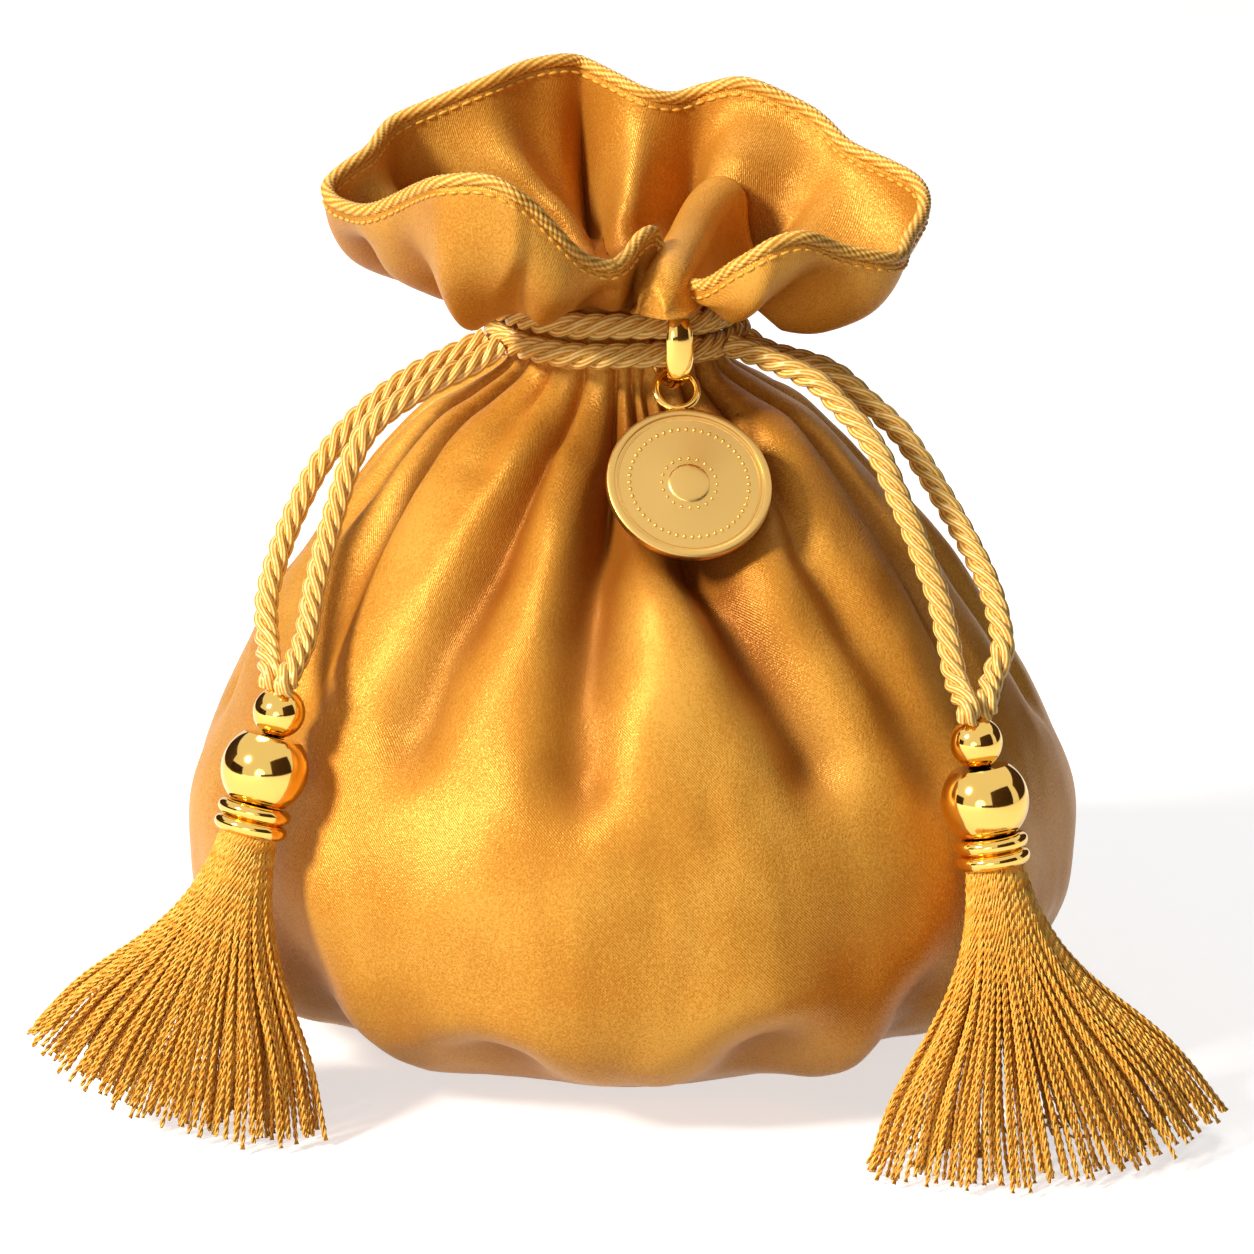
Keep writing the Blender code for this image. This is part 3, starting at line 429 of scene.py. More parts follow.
def laidCordTree():
    # sweeps a ring of small strand sections along the path, turning once in every lay
    tree = bpy.data.node_groups.new("laidCord", "GeometryNodeTree")
    face = tree.interface
    face.new_socket(name="Geometry", in_out="INPUT", socket_type="NodeSocketGeometry")
    face.new_socket(name="Strands", in_out="INPUT", socket_type="NodeSocketInt")
    for name in ("Strand radius", "Strand offset", "Lay", "Step"):
        face.new_socket(name=name, in_out="INPUT", socket_type="NodeSocketFloat")
    face.new_socket(name="Sides", in_out="INPUT", socket_type="NodeSocketInt")
    face.new_socket(name="Material", in_out="INPUT", socket_type="NodeSocketMaterial")
    face.new_socket(name="Geometry", in_out="OUTPUT", socket_type="NodeSocketGeometry")
    given = addNode(tree, "NodeGroupInput").outputs
    path = addNode(tree, "GeometryNodeResampleCurve", None, {"Curve": given["Geometry"], "Length": given["Step"]}, mode="LENGTH")
    spline = addNode(tree, "GeometryNodeSplineParameter").outputs
    marked = addNode(tree, "GeometryNodeStoreNamedAttribute", {"Name": "along"},
                     {"Geometry": path.outputs[0], "Value": spline["Length"]}, data_type="FLOAT", domain="POINT")
    turn = addNode(tree, "ShaderNodeMath", None, {0: spline["Length"], 1: given["Lay"]}, operation="DIVIDE")
    turn = addNode(tree, "ShaderNodeMath", {1: 2 * pi}, {0: turn.outputs[0]}, operation="MULTIPLY")
    twisted = addNode(tree, "GeometryNodeSetCurveTilt", None, {"Curve": marked.outputs[0], "Tilt": turn.outputs[0]})
    section = addNode(tree, "GeometryNodeCurvePrimitiveCircle", None, {"Resolution": given["Sides"], "Radius": given["Strand radius"]},
                      mode="RADIUS")
    section = addNode(tree, "GeometryNodeTransform", {"Rotation": (0, 0, pi)}, {"Geometry": section.outputs[0]})
    factor = addNode(tree, "GeometryNodeSplineParameter").outputs["Factor"]
    section = addNode(tree, "GeometryNodeStoreNamedAttribute", {"Name": "around"},
                      {"Geometry": section.outputs[0], "Value": factor}, data_type="FLOAT", domain="POINT")
    index = addNode(tree, "GeometryNodeInputIndex").outputs[0]
    share = addNode(tree, "ShaderNodeMath", None, {0: index, 1: given["Strands"]}, operation="DIVIDE")
    angle = addNode(tree, "ShaderNodeMath", {1: 2 * pi}, {0: share.outputs[0]}, operation="MULTIPLY")
    spin = addNode(tree, "ShaderNodeCombineXYZ", None, {"Z": angle.outputs[0]})
    outer = addNode(tree, "ShaderNodeCombineXYZ", None, {"X": given["Strand offset"]})
    spot = addNode(tree, "ShaderNodeVectorRotate", None, {"Vector": outer.outputs[0], "Rotation": spin.outputs[0]},
                   rotation_type="EULER_XYZ")
    spots = addNode(tree, "GeometryNodePoints", None, {"Count": given["Strands"], "Position": spot.outputs[0]})
    strands = addNode(tree, "GeometryNodeInstanceOnPoints", None,
                      {"Points": spots.outputs[0], "Instance": section.outputs[0], "Rotation": spin.outputs[0]})
    strands = addNode(tree, "GeometryNodeRealizeInstances", None, {"Geometry": strands.outputs[0]})
    swept = addNode(tree, "GeometryNodeCurveToMesh", {"Fill Caps": True},
                    {"Curve": twisted.outputs[0], "Profile Curve": strands.outputs[0]})
    swept = addNode(tree, "GeometryNodeSetShadeSmooth", None, {"Geometry": swept.outputs[0]})
    real = addNode(tree, "GeometryNodeRealizeInstances", None, {"Geometry": swept.outputs[0]})
    dressed = addNode(tree, "GeometryNodeSetMaterial", None, {"Geometry": real.outputs[0], "Material": given["Material"]})
    addNode(tree, "NodeGroupOutput", None, {0: dressed.outputs[0]})
    return tree


def pathObject(name, lines, closed=False):
    curve = bpy.data.curves.new(name, "CURVE")
    curve.dimensions = "3D"
    curve.twist_mode = "MINIMUM"
    for line in lines:
        spline = curve.splines.new("POLY")
        spline.points.add(len(line) - 1)
        for place, point in zip(spline.points, line):
            place.co = (*(point * mm), 1)
        spline.use_cyclic_u = closed
    thing = bpy.data.objects.new(name, curve)
    scene.collection.objects.link(thing)
    return thing


def nodesToMesh(name, source, tree, values):
    # runs the tree on the source and keeps only the plain mesh that it makes
    modifier = source.modifiers.new(name, "NODES")
    modifier.node_group = tree
    for item in tree.interface.items_tree:
        if item.in_out == "INPUT" and item.name in values:
            modifier[item.identifier] = values[item.name]
    graph = bpy.context.evaluated_depsgraph_get()
    mesh = bpy.data.meshes.new_from_object(source.evaluated_get(graph), preserve_all_data_layers=True, depsgraph=graph)
    mesh.name = name
    bpy.data.objects.remove(source, do_unlink=True)
    return mesh


laidCord = laidCordTree()


def laidValues(diameter, strands, lay, step, sides, material):
    # strands that touch their neighbours and fill the diameter
    share = sin(pi / strands) if strands > 2 else 1.0
    offset = diameter / 2 / (1 + share)
    return {"Strands": strands, "Strand radius": offset * share * 1.06 * mm, "Strand offset": offset * mm,
            "Lay": lay * mm, "Step": step * mm, "Sides": sides, "Material": material}


def smoothRoute(points, perSpan=6):
    ends = [points[0] * 2 - points[1]] + points + [points[-1] * 2 - points[-2]]
    line = []
    for i in range(len(points) - 1):
        for k in range(perSpan):
            line.append(catmull(ends[i], ends[i + 1], ends[i + 2], ends[i + 3], k / perSpan))
    return line + [points[-1]]


def routeLength(line):
    return sum((b - a).length for a, b in zip(line, line[1:]))


def legRoute(side, which):
    start = neckAxis + direction(cord["legStarts"][side][which]) * (turnRadius + cord["turnDiameter"] / 2 + cord["gap"])
    points = [start + Vector((0, 0, lowerTurn))]
    points += [placeBeside(*place) for place in cord["legs"][side][which]]
    aside = tangent(tassel[side]["angle"]) * (1 if which == 1 else -1)
    end = pivotOf(side) + aside * (cord["legDiameter"] + cord["gap"]) / 2
    half = tassel["endBead"] / 2
    return smoothRoute(points + [end + Vector((0, 0, half + 2.5)), end + Vector((0, 0, half + cord["gap"]))])


def makeLegs():
    names = [("leftBackLeg", "left", 0, "left_back_leg"), ("leftFrontLeg", "left", 1, "left_front_leg"),
             ("rightFrontLeg", "right", 0, "right_front_leg"), ("rightBackLeg", "right", 1, "right_back_leg")]
    legs = []
    for name, side, which, node in names:
        line = legRoute(side, which)
        values = laidValues(cord["legDiameter"], cord["strands"], cord["lay"], cord["step"], 12, silkCord)
        mesh = nodesToMesh(name, pathObject(name, [line]), laidCord, values)
        legs.append((addPiece(name, mesh, None, "bag", [node]), side, which, line))
    return legs


def turnPath(height, tilt, swell):
    # a ring round the gathers, seam at the back, with the slight waver that they give it
    line = []
    for k in range(120):
        angle = 180 + 3 * k
        waver = 0.35 * sin(radians(angle * 5 + 40 * swell)) + 0.25 * sin(radians(angle * 9 + 70))
        rise = -turnRadius * sin(radians(angle)) * tan(radians(tilt))
        line.append(neckAxis + direction(angle) * (turnRadius + waver * 0.6) + Vector((0, 0, height + rise + waver * 0.5)))
    return line


def makeTurns():
    for name, node, height, tilt, swell in (("lowerTurn", "right_drawcord_turn", lowerTurn, 0.0, 0),
                                            ("upperTurn", "left_drawcord_turn", upperTurn, cord["upperTilt"], 1)):
        line = turnPath(height, tilt, swell)
        around = routeLength(line + [line[0]])
        lay = around / round(around / cord["lay"])
        values = laidValues(cord["turnDiameter"], cord["strands"], lay, cord["step"], 12, silkCord)
        mesh = nodesToMesh(name, pathObject(name, [line], closed=True), laidCord, values)
        addPiece(name, mesh, None, "bag", [node])


legPieces = makeLegs()
makeTurns()
print("cords laid")


# the pouch: one skin from the foot up the body, through the neck, over the frill and into its pit

def fineProfile(perSpan=8):
    # the body's profile as (radius, height, run from the neck, slope)
    places = [Vector((r, z)) for r, z in profilePlaces()]
    ends = [places[0] * 2 - places[1]] + places + [places[-1] * 2 - places[-2]]
    line = []
    for i in range(len(places) - 1):
        for k in range(perSpan):
            line.append(catmull(ends[i], ends[i + 1], ends[i + 2], ends[i + 3], k / perSpan))
    line.append(places[-1])
    runs = [0.0]
    for a, b in zip(line[::-1], line[-2::-1]):
        runs.append(runs[-1] + (b - a).length)
    runs.reverse()
    rows = []
    for i, place in enumerate(line):
        step = line[min(i + 1, len(line) - 1)] - line[max(i - 1, 0)]
        rows.append((place.x, max(place.y, 0.0), runs[i], Vector((step.y, -step.x)).normalized()))
    return rows


def hollowDepth(angle, radius, run):
    depth = 0.0
    for start, middle, end, reach, width, deep in pouch["hollows"]:
        t = min(run / reach, 1.0)
        line = start + (middle - start) * min(t * 2, 1) + (end - middle) * max(t * 2 - 1, 0)
        half = 1.9 + (width - 1.9) * smoothStep(t * 1.1)
        across = radians(angleBetween(angle, line)) * radius / half
        if abs(across) > 4:
            continue
        beyond = max(run - reach, 0) / (1.25 * width)
        span = hypot(across, beyond)
        strength = (3.9 + (deep - 3.9) * smoothStep(t * 2.4)) * (1 - 0.25 * smoothStep((t - 0.6) / 0.4))
        sharp = exp(-1.5 * sqrt(span * span + 0.02)) * 1.25
        soft = exp(-abs(span) ** 2.1)
        depth += strength * (sharp + (soft - sharp) * smoothStep(t * 1.5))
    return depth


def tuckDepth(angle, radius, height):
    depth = 0.0
    footFade = smoothStep((height - 2) / 15)
    for line, top, width, deep in pouch["tucks"]:
        across = radians(angleBetween(angle, line)) * radius / width
        if abs(across) > 4:
            continue
        span = hypot(across, max(height - 0.55 * top, 0) / (0.3 * top))
        depth += deep * footFade * exp(-span * span)
        depth -= 0.15 * deep * footFade * exp(-((span - 1.8) / 0.7) ** 2)
    return depth


def seatDepth(angle, radius, height):
    across = radians(angleBetween(angle, pouch["seatAngle"])) * radius
    along = (height - pouch["seatHeight"] * pouch["neckHeight"]) * pouch["seatStretch"]
    return pouch["seatDepth"] * exp(-((across**2 + along**2) / pouch["seatWidth"]**2) ** 1.5)


def besideBail(angle):
    return exp(-(angleBetween(angle, bail["angle"]) / bail["recessWidth"]) ** 4)


def bailRecess(angle, run=0.0):
    fade = smoothStep((bail["recessReach"] - run) / (bail["recessReach"] - bail["recessFull"]))
    return bail["recessDepth"] * fade * besideBail(angle)


def wrinkleAt(angle, radius, run):
    # creases in the satin that run down the cloth, and a broad unevenness under them
    way = direction(angle) * radius
    small = noise.noise(Vector((way.x / 7, way.y / 7, run / 22)))
    broad = noise.noise(Vector((way.x / 27 + 7, way.y / 27, run / 36)))
    return pouch["wrinkle"] * small * smoothStep(run / 20) + pouch["slack"] * broad * smoothStep((run - 30) / 50)


bail = {
    "angle": 26.0, "turn": 19.0, "width": 6.4, "endWidth": 3.4, "thickness": 2.0, "crown": 0.6, "play": 0.5, "hang": 2.0,
    "corner": 0.65, "recessDepth": 4.6, "recessWidth": 14.0, "recessFull": 7.0, "recessReach": 17.0, "lift": 3.2,
}
charm = {
    "diameter": 36.6, "thickness": 2.4, "rimWidth": 1.7, "recess": 0.5, "boss": 9.0,
    "eye": 10.9, "wire": 1.7, "eyeToCharm": 23.4, "lean": 41.0, "turn": 10.0, "dotRing": 13.2,
}


def bodyRows():
    rows, shades = [], []
    count = pouch["columns"]
    for i, (radius, height, run, slope) in enumerate(fineProfile()):
        row, shade = [], []
        for j in range(count):
            angle = 360 * j / count
            sink = 0.0
            if i > 0:
                sink = hollowDepth(angle, radius, run) + tuckDepth(angle, radius, height)
                sink += seatDepth(angle, radius, height) + wrinkleAt(angle, radius, run) * smoothStep(height / 8)
                sink = max(sink, -3.0)
            if run < bail["recessReach"]:
                sink = max(sink, bailRecess(angle, run), 0.0)
            out = radius - sink * slope.x
            up = max(height - sink * slope.y, 0.3 if i > 0 else 0.0)
            row.append(leanAt(height) + direction(angle) * out + Vector((0, 0, up)))
            # painted shade: the satin's colour is darkened where the cloth sinks into hollows and tucks
            shade.append(min(max((sink - 1.5) / 7.5, 0.0), 1.0) * pouch["foldShade"] * smoothStep(run / 6))
        rows.append(row)
        shades.append(shade)
    for rise in (0.35, 0.7, 1.0):
        height = pouch["neckHeight"] + (upperTurn - pouch["neckHeight"]) * rise
        row = []
        for j in range(count):
            angle = 360 * j / count
            sink = max(hollowDepth(angle, pouch["neckRadius"], 0.0), bailRecess(angle), 0.0)
            row.append(neckAxis + direction(angle) * (pouch["neckRadius"] - sink) + Vector((0, 0, height)))
        rows.append(row)
    return rows, shades


def rimAt(angle):
    rim = pouch["rim"]
    count = len(rim)
    turn = (angle + 90) % 360 - 90
    i = bisect_right([p[0] for p in rim], turn) - 1
    a1 = rim[i][0]
    a2 = rim[(i + 1) % count][0] + (360 if i == count - 1 else 0)
    t = (turn - a1) / (a2 - a1)
    near = [rim[(i + k) % count] for k in (-1, 0, 1, 2)]
    return (pouch["frillRadius"] * catmull(*[p[1] for p in near], t),
            pouch["frillHeight"] * catmull(*[p[2] for p in near], t))


def foldAt(angle, s):
    # the height of the frill's folds over its smooth surface, at full size
    wave = 0.0
    for neck, rim, neckWidth, rimWidth, rise in pouch["folds"]:
        line = neck + (rim - neck) * smoothStep(s * 1.15)
        across = angleBetween(angle, line) / (neckWidth + (rimWidth - neckWidth) * s)
        wave += rise * exp(-abs(across) ** 1.8)
    return wave


def frillPoint(angle, s):
    # a point on the frill's outside, s running from 0 at the neck to 1 at the rim
    rimRadius, rimRise = rimAt(angle)
    turn = s * pi / 2
    radius = pouch["neckRadius"] + (rimRadius - pouch["neckRadius"]) * sin(turn)
    height = frillBase + (rimRise - pouch["pipingDiameter"] * 0.8) * max(1 - cos(turn), 0) ** 1.15
    clear = smoothStep((radius - turnRadius - cord["turnDiameter"]) / 8)
    height -= pouch["frillSag"] * clear * (1 - s) * 1.8 * sin(radians(angle)) ** 2
    height += bail["lift"] * besideBail(angle) * (1 - s)
    wave = foldAt(angle, s)
    wave = wave * clear + max(wave, 0) * (1 - clear)
    wave *= smoothStep(s / 0.42) * (1 - 0.6 * smoothStep((s - 0.6) / 0.4)) * 1.75
    middle, half, rise = pouch["pleatEnd"]
    wave += rise * exp(-abs(angleBetween(angle, middle) / half) ** 2.2) * smoothStep((s - 0.28) / 0.32) * (1 - 0.8 * smoothStep((s - 0.68) / 0.32))
    wave += 0.8 * noise.noise(Vector((sin(radians(angle)) * 3.2, cos(radians(angle)) * 3.2, s * 1.3))) * clear * sin(pi * s)
    outwardStep = (rimRadius - pouch["neckRadius"]) * cos(turn)
    upStep = rimRise * sin(turn)
    size = max(hypot(outwardStep, upStep), 0.01)
    radius -= wave * upStep / size
    height += wave * abs(outwardStep) / size
    neck, rim, rise, reach = pouch["lap"]
    past = -angleBetween(angle, neck + (rim - neck) * smoothStep(s * 1.15))
    if -8 < past < reach * 2:
        radius += rise * clear * sin(pi * min(s, 0.9)) * smoothStep((past + 1.5) / 3.0) * (1 - smoothStep(past / reach))
    return neckAxis + direction(angle) * radius + Vector((0, 0, height))


frillSteps = 38
pitRows = [(0.92, 0.0, 0.05, 1), (0.62, 0.22, 0.16, 1), (0.3, 0.7, 0.2, 0), (0.1, 1.0, 0.0, 0)]


def frillGrid():
    # the frill's outside, its way up and its inward side, by row and column
    count = pouch["columns"]
    steps = [0.03 + 0.97 * i / frillSteps for i in range(frillSteps + 1)]
    grid = [[frillPoint(360 * j / count, s) for j in range(count)] for s in steps]
    ups, ins = [], []
    for i in range(len(grid)):
        upRow, inRow = [], []
        for j in range(count):
            up = (grid[min(i + 1, frillSteps)][j] - grid[max(i - 1, 0)][j]).normalized()
            around = grid[i][(j + 1) % count] - grid[i][j - 1]
            upRow.append(up)
            inRow.append(around.cross(up).normalized() * -1)
        ups.append(upRow)
        ins.append(inRow)
    return grid, ups, ins


def makePouch():
    count = pouch["columns"]
    grid, ups, ins = frillGrid()
    if ins[0][0].z < 0:
        ins = [[-v for v in row] for row in ins]
    rows, shades = bodyRows()
    base = []
    for j in range(count):
        angle = 360 * j / count
        lifted = Vector((0, 0, frillBase + bail["lift"] * besideBail(angle)))
        base.append(neckAxis + direction(angle) * (pouch["neckRadius"] - bailRecess(angle)) + lifted)
    rows.append(base)
    shades += [[0.0] * count] * (len(rows) - len(shades))
    rows += grid
    thick = pouch["clothThickness"]
    inner = [[p + n * thick for p, n in zip(row, normals)] for row, normals in zip(grid, ins)]
    rows += inner[:2:-1]
    # painted shade on the frill: darker where a fold makes a valley on the side in view, and darker towards the neck,
    # most on the mouth's inside
    depth = pouch["foldShade"]
    for side, order in ((1, range(frillSteps + 1)), (-1, range(frillSteps, 2, -1))):
        for i in order:
            s = i / frillSteps
            shade = []
            for j in range(count):
                fold = side * foldAt(360 * j / count, s) / 6.5
                # painted shade that grows towards the neck, stronger on the inner side
                paintedNeckShade = 0.75 * (1 - s) ** 1.1 if side < 0 else 0.5 * (1 - s)
                shade.append(depth * min(max(fold, 0.0) * (1 - 0.6 * s) + paintedNeckShade, 1.0))
            shades.append(shade)
    floorHeight = frillBase + thick
    steps = 16
    for i in range(steps + 1):
        t = i / steps * 3
        k = min(int(t), 2)
        mix = smoothStep(t - k)
        share, depth, pleat, lift = [a + (b - a) * mix for a, b in zip(pitRows[k], pitRows[k + 1])]
        row = []
        for j in range(count):
            angle = 360 * j / count
            radius = pouch["neckRadius"] * share * (1 + pleat * cos(radians(angle * 13 + 20 * sin(radians(angle * 2)))))
            height = floorHeight - pouch["pitDepth"] * depth + bail["lift"] * lift * besideBail(angle)
            row.append(neckAxis + direction(angle) * radius + Vector((0, 0, height)))
        rows.append(row)
    points, faces = skinRings(rows)
    mesh = meshFrom("pouchCloth", points, faces)
    runs = [0.0]
    for a, b in zip(rows, rows[1:]):
        runs.append(runs[-1] + (b[0] - a[0]).length)
    # painted shade: the pit inside the mouth is darkened evenly
    shades += [[depth * 0.8] * count] * (len(rows) - len(shades))
    layer = mesh.uv_layers.new(name="cloth")
    for face in mesh.polygons:
        seam = any(mesh.loops[i].vertex_index % count == count - 1 for i in face.loop_indices)
        for i in face.loop_indices:
            row, column = divmod(mesh.loops[i].vertex_index, count)
            if seam and column == 0:
                column = count
            layer.data[i].uv = (2 * pi * 100 * column / count, runs[row])
    # the painted shade is stored per point for the satin's colour to read
    paintedFoldShade = mesh.attributes.new("paintedFoldShade", "FLOAT", "POINT")
    for i, value in enumerate(v for shade in shades for v in shade):
        paintedFoldShade.data[i].value = value
    piece = addPiece("pouchCloth", mesh, satin, "bag", ["pouch"])
    return grid, ups, ins


clothGrid, clothUps, clothIns = makePouch()


def makeRolledPleat():
    # upright arches along the pleat's line, round above and flared where they meet the cloth
    stations = [Vector((*place,)) for place in [(a, b, c) for a, b, c, d, e in pouch["rolledPleat"]]]
    widths = [Vector((d, e, 0)) for a, b, c, d, e in pouch["rolledPleat"]]
    line, extra = smoothRoute(stations, 8), smoothRoute(widths, 8)
    places = [neckAxis + Vector((p.x, p.y, 0)) * pouch["frillRadius"] for p in line]
    rings, rows = [], []
    run = 0.0
    for i, (place, point, more) in enumerate(zip(places, line, extra)):
        along = (places[min(i + 1, len(places) - 1)] - places[max(i - 1, 0)]).normalized()
        side = Vector((along.y, -along.x, 0))
        middle = frillBase + pouch["frillHeight"] * point.z
        foot = frillBase + pouch["frillHeight"] * more.x
        half = more.y
        flare = min(1.0, i / 16) * 2.4
        ring = []
        for k in range(9):
            t = k / 8
            ring.append(place + side * (half + flare * (1 - t) ** 2.5) + Vector((0, 0, foot + (middle - foot) * t)))
        for k in range(1, 24):
            a = pi * k / 24
            ring.append(place + side * half * cos(a) + Vector((0, 0, middle + half * sin(a))))
        for k in range(9):
            t = 1 - k / 8
            ring.append(place - side * (half + flare * (1 - t) ** 2.5) + Vector((0, 0, foot + (middle - foot) * t)))
        rings.append(ring)
        if i:
            run += (place - places[i - 1]).length
        rows.append(run)
    points, faces = skinRings(rings)
    mesh = outwards(meshFrom("rolledPleat", points, faces))
    layer = mesh.uv_layers.new(name="cloth")
    for face in mesh.polygons:
        for i in face.loop_indices:
            row, column = divmod(mesh.loops[i].vertex_index, len(rings[0]))
            layer.data[i].uv = (rows[min(row, len(rows) - 1)], column * 0.8)
    addPiece("rolledPleat", mesh, satin, "bag")


makeRolledPleat()
print("pouch made")


# the rim: wrapped piping and a running stitch under it on both sides

rimTrim = {"seat": -0.45, "strands": 6, "lay": 10.0, "strandRadius": 0.82, "strandOffset": 0.78,
           "stitchPeriod": 2.95, "stitchLength": 2.3, "stitchWidth": 0.8, "stitchDrop": 1.5}


def stitchTree():
    # lays one padded stitch at every period along a closed line
    tree = bpy.data.node_groups.new("runningStitch", "GeometryNodeTree")
    face = tree.interface
    face.new_socket(name="Geometry", in_out="INPUT", socket_type="NodeSocketGeometry")
    for name in ("Period", "Length", "Width"):
        face.new_socket(name=name, in_out="INPUT", socket_type="NodeSocketFloat")
    face.new_socket(name="Material", in_out="INPUT", socket_type="NodeSocketMaterial")
    face.new_socket(name="Geometry", in_out="OUTPUT", socket_type="NodeSocketGeometry")
    given = addNode(tree, "NodeGroupInput").outputs
    path = addNode(tree, "GeometryNodeResampleCurve", None, {"Curve": given["Geometry"], "Length": given["Period"]}, mode="LENGTH")
    ball = addNode(tree, "GeometryNodeMeshUVSphere", {"Segments": 8, "Rings": 6, "Radius": 0.5})
    size = addNode(tree, "ShaderNodeCombineXYZ", None, {"X": given["Width"], "Y": given["Width"], "Z": given["Length"]})
    way = addNode(tree, "GeometryNodeInputTangent")
    turned = addNode(tree, "FunctionNodeAlignRotationToVector", None, {"Vector": way.outputs[0]}, axis="Z")
    laid = addNode(tree, "GeometryNodeInstanceOnPoints", None,
                   {"Points": path.outputs[0], "Instance": ball.outputs[0], "Rotation": turned.outputs[0],
                    "Scale": size.outputs[0]})
    real = addNode(tree, "GeometryNodeRealizeInstances", None, {"Geometry": laid.outputs[0]})
    soft = addNode(tree, "GeometryNodeSetShadeSmooth", None, {"Geometry": real.outputs[0]})
    dressed = addNode(tree, "GeometryNodeSetMaterial", None, {"Geometry": soft.outputs[0], "Material": given["Material"]})
    addNode(tree, "NodeGroupOutput", None, {0: dressed.outputs[0]})
    return tree


def makeRim():
    radius = pouch["pipingDiameter"] / 2
    thick = pouch["clothThickness"]
    top, ups, ins = clothGrid[-1], clothUps[-1], clothIns[-1]
    line = [p + n * thick / 2 + u * (radius + rimTrim["seat"]) for p, u, n in zip(top, ups, ins)]
    around = routeLength(line + [line[0]])
    lay = around / round(around / rimTrim["lay"])
    values = laidValues(pouch["pipingDiameter"], rimTrim["strands"], lay, 0.7, 8, pipingCord)
    values["Strand radius"], values["Strand offset"] = rimTrim["strandRadius"] * mm, rimTrim["strandOffset"] * mm
    addPiece("rimPiping", nodesToMesh("rimPiping", pathObject("rimPiping", [line], closed=True), laidCord, values),
             None, "bag", ["rim_piping"])
    stitches = stitchTree()
    for name, side in (("outerStitches", 0.0), ("innerStitches", thick)):
        line = []
        for j in range(pouch["columns"]):
            drop = clothGrid[-1][j] - clothUps[-1][j] * rimTrim["stitchDrop"]
            line.append(drop + clothIns[-1][j] * (side + (0.12 if side else -0.12)))
        around = routeLength(line + [line[0]])
        values = {"Period": around / round(around / rimTrim["stitchPeriod"]) * mm, "Length": rimTrim["stitchLength"] * mm,
                  "Width": rimTrim["stitchWidth"] * mm, "Material": rayonThread}
        addPiece(name, nodesToMesh(name, pathObject(name, [line], closed=True), stitches, values), None, "bag")


makeRim()
print("rim trimmed")


# tassels: turned gold beads over a fringe of twisted yarns

def turnedPiece(name, outline, origin, axis, segments, material, body, replaced):
    # revolves a closed outline that stays off the axis
    points, faces = skinRings(turnedRings(outline, origin, axis, segments), closedLoop=True)
    mesh = outwards(meshFrom(name, points, faces))
    mesh.set_sharp_from_angle(angle=radians(35))
    return addPiece(name, mesh, material, body, replaced)


def beadSection(diameter, height, bore, steps):
    radius, half = diameter / 2, height / 2
    start = acos(min((half - 0.01) / radius, 1.0))
    outline = [(radius * sin(a), -radius * cos(a)) for a in
               (start + (pi - 2 * start) * k / steps for k in range(steps + 1))]
    return outline + [(bore / 2, outline[-1][1]), (bore / 2, outline[0][1])]


def ferruleSection():
    bore = tassel["core"] / 2 + cord["gap"]
    half = tassel["ferruleHeight"] / 2
    outer = tassel["ferrule"] / 2
    rib = half / 2
    outline = [(bore, -half), (outer - rib - 0.6, -half)]
    for middle in (-rib, rib):
        outline += [(outer - rib + rib * cos(a), middle + rib * 0.96 * sin(a)) for a in (pi * k / 14 - pi / 2 for k in range(15))]
        if middle < 0:
            outline.append((outer - rib * 1.05, 0))
    return outline + [(outer - rib - 0.6, half), (bore, half)]


def makeStack(side):
    body = side + "_tassel"
    pivot, axis = pivotOf(side), stackAxis(side)
    bore = tassel["core"] + 2 * cord["gap"]
    beadRadius = tassel["endBead"] / 2
    seat = beadRadius * tassel["endBeadSeat"]
    ballPlace = seat + cord["gap"] + tassel["ballHeight"] / 2
    ferrulePlace = ballPlace + tassel["ballHeight"] / 2 + cord["gap"] + tassel["ferruleHeight"] / 2
    skirtPlace = ferrulePlace + tassel["ferruleHeight"] / 2 + cord["gap"]
    last = acos(-tassel["endBeadSeat"] * 0.999)
    outline = [(0.02, -beadRadius)] + [(beadRadius * sin(last * k / 32), -beadRadius * cos(last * k / 32)) for k in range(1, 33)]
    outline += [(0.02, seat)]
    bead = turnedPiece(side + "EndBead", outline, pivot, axis, 72, polishedGold, body, [side + "_end_bead"])
    ball = turnedPiece(side + "Ball", beadSection(tassel["ball"], tassel["ballHeight"], bore, 40), pivot + axis * ballPlace, axis,
                       96, polishedGold, side + "_ball", [side + "_ball_bead"])
    ferrule = turnedPiece(side + "Ferrule", ferruleSection(), pivot + axis * ferrulePlace, axis, 96, polishedGold, body,
                          [side + "_ferrule"])
    return bead, ball, ferrule, pivot + axis * skirtPlace


